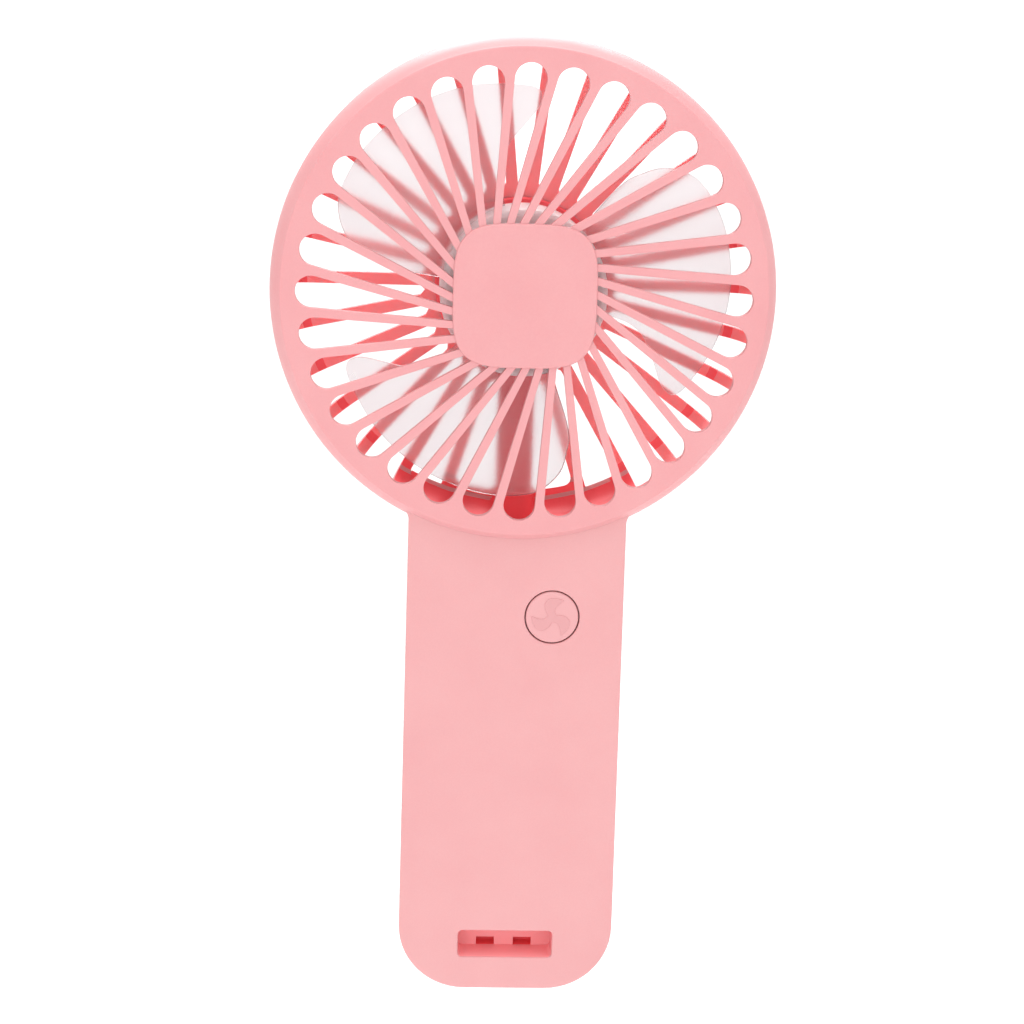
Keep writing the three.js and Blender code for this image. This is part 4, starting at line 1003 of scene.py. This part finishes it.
def power_button():
    bm = bmesh.new()
    flange_front = BUTTON_LOW.y + 2.0
    edge = arc((BUTTON_RADIUS - 0.4, HANDLE_FRONT + 0.4), 0.4, -90, 0, 5)
    centre = Vector((BUTTON.x, 0, BUTTON.z))
    flange_back, stem_back, stem = flange_front + 0.9, flange_front + 2, 2.2
    spun(bm, [(0, HANDLE_FRONT)] + edge
         + [(BUTTON_RADIUS, flange_front), (BUTTON_RADIUS + 1, flange_front),
            (BUTTON_RADIUS + 1, flange_back), (stem, flange_back), (stem, stem_back), (0, stem_back)],
         96, centre)
    finish_piece("button_cap", bm, "button", ["power_button"], [PINK_BUTTON])
    swirl = bmesh.new()
    outline = []
    for index in range(3):
        outline += smooth_outline([polar(r, a + index * 120) for r, a in SWIRL], 3)
    face = ngon(swirl, [centre + Vector((p.x, HANDLE_FRONT + 0.2, p.y)) for p in outline])
    face.normal_update()
    moved = thicken(swirl, [face], -0.34)
    soften(swirl, [e for e in swirl.edges if all(v in moved for v in e.verts)], 0.11, 3)
    finish_piece("button_swirl", swirl, "button", [], [PINK_SWIRL])


front_grille()
front_shell()
rear_shell()
impeller()
power_button()


# ---------------------------------------------------------------- finishes of the inner pieces

STEEL = metal("bright_steel", (0.62, 0.63, 0.65), (0.50, 0.50, 0.51), 0.28)
SCREW_STEEL = metal("plated_screw_steel", (0.42, 0.42, 0.43), (0.30, 0.29, 0.28), 0.34)
COPPER = metal("enamelled_copper", (0.78, 0.34, 0.16), (0.58, 0.22, 0.09), 0.30)
BRASS = metal("spring_brass", (0.78, 0.58, 0.24), (0.60, 0.42, 0.16), 0.30)
NICKEL = metal("nickel_strip", (0.70, 0.69, 0.65), (0.56, 0.55, 0.50), 0.26)
BRONZE = metal("sintered_bronze", (0.52, 0.32, 0.16), (0.36, 0.20, 0.10), 0.48)
FERRITE = plastic("sintered_ferrite", (0.05, 0.05, 0.055), (0.025, 0.025, 0.03), 0.7, 2500.0)[0]
BLACK = plastic("black_moulding", (0.025, 0.025, 0.028), (0.014, 0.014, 0.016), 0.48)[0]
WHITE = plastic("white_moulding", (0.86, 0.84, 0.79), (0.78, 0.75, 0.68), 0.45)[0]
RUBBER = plastic("soft_rubber", (0.035, 0.035, 0.037), (0.02, 0.02, 0.02), 0.8, 3000.0)[0]
FOAM = plastic("closed_cell_foam", (0.09, 0.09, 0.10), (0.04, 0.04, 0.045), 0.9, 1200.0, 0.9, 0.8, 0.0002)[0]
SLEEVE = plastic("cell_sleeve", (0.05, 0.22, 0.50), (0.04, 0.18, 0.44), 0.3, 600.0, 0.4, 0.1)[0]
MASK = plastic("board_solder_mask", (0.02, 0.17, 0.07), (0.012, 0.11, 0.045), 0.35, 1500.0, 0.7)[0]
RED = plastic("red_insulation", (0.60, 0.03, 0.025), (0.48, 0.02, 0.018), 0.35, 2000.0)[0]
JET = plastic("black_insulation", (0.02, 0.02, 0.022), (0.012, 0.012, 0.013), 0.35, 2000.0)[0]

SLOT_FINISH = {
    "steel": STEEL, "screw_steel": SCREW_STEEL, "copper": COPPER, "brass": BRASS, "nickel": NICKEL,
    "bronze": BRONZE, "ferrite": FERRITE, "black_plastic": BLACK, "white_plastic": WHITE,
    "rubber": RUBBER, "foam": FOAM, "cell_wrap": SLEEVE, "board": MASK, "wire_red": RED,
    "wire_black": JET,
}
for part in frame["record"]["subparts"]:
    if part["material_slot"] in SLOT_FINISH:
        kept = frame["nodes"][part["node"]]
        kept.data.materials.clear()
        kept.data.materials.append(SLOT_FINISH[part["material_slot"]])


# ---------------------------------------------------------------- floor, light and camera

def pale_floor():
    bm = bmesh.new()
    bmesh.ops.create_grid(bm, x_segments=1, y_segments=1, size=6)
    bmesh.ops.translate(bm, verts=bm.verts, vec=(0, 2, -0.4))
    mesh = bpy.data.meshes.new("floor")
    bm.to_mesh(mesh)
    bm.free()
    floor = bpy.data.objects.new("floor", mesh)
    bpy.context.scene.collection.objects.link(floor)
    material = plastic("pale_floor", (0.995, 0.995, 0.995), (0.985, 0.985, 0.985), 0.9, 40.0,
                       variation=0.3, bump=0.0)[0]
    floor.data.materials.append(material)


def soft_light(name, place, aim, size, power):
    data = bpy.data.lights.new(name, "AREA")
    data.shape = "DISK"
    data.size = size
    data.energy = power
    light = bpy.data.objects.new(name, data)
    light.location = place
    light.rotation_mode = "QUATERNION"
    light.rotation_quaternion = (Vector(aim) - Vector(place)).to_track_quat("-Z", "Y")
    bpy.context.scene.collection.objects.link(light)


def studio():
    world = bpy.data.worlds.new("studio")
    world.use_nodes = True
    nodes, links = world.node_tree.nodes, world.node_tree.links
    sky = nodes["Background"]
    sky.inputs["Color"].default_value = (1, 1, 1, 1)
    place = nodes.new("ShaderNodeTexCoord")
    axes = nodes.new("ShaderNodeSeparateXYZ")
    links.new(place.outputs["Generated"], axes.inputs["Vector"])
    square = nodes.new("ShaderNodeMath")
    square.operation = "MULTIPLY"
    links.new(axes.outputs["X"], square.inputs[0])
    links.new(axes.outputs["X"], square.inputs[1])
    dim_sides = nodes.new("ShaderNodeMath")
    dim_sides.operation = "MULTIPLY_ADD"
    dim_sides.inputs[1].default_value = -0.6
    dim_sides.inputs[2].default_value = 1.32
    links.new(square.outputs[0], dim_sides.inputs[0])
    links.new(dim_sides.outputs[0], sky.inputs["Strength"])
    bpy.context.scene.world = world
    bpy.context.scene.view_settings.view_transform = "Standard"
    soft_light("top_softbox", (0.05, -0.1, 1.0), (0, 0, 0.12), 0.7, 2.6)
    soft_light("back_softbox", (0.0, 0.85, 1.0), (0, 0, 0.14), 0.8, 11.0)
    soft_light("front_softbox", (-0.25, -1.25, 0.55), (0, 0, 0.1), 0.8, 1.8)


def camera():
    data = bpy.data.cameras.new("view")
    data.lens = 78.26
    data.sensor_width = 36
    data.clip_start = 0.01
    data.clip_end = 50
    view = bpy.data.objects.new("view", data)
    yaw, pitch, roll = (math.radians(a) for a in (2.756, 12.511, 1.73))
    turn = (Matrix.Rotation(roll, 3, "Y") @ Matrix.Rotation(pitch, 3, "X")
            @ Matrix.Rotation(yaw, 3, "Z"))
    right, ahead, up = turn.row
    basis = Matrix((right, up, -ahead)).transposed().to_4x4()
    eye = HEAD + Vector((-23.18, -453.0 + FACE, 55.51))
    view.matrix_world = Matrix.Translation(eye * 0.001) @ basis
    bpy.context.scene.collection.objects.link(view)
    bpy.context.scene.camera = view


pale_floor()
studio()
camera()
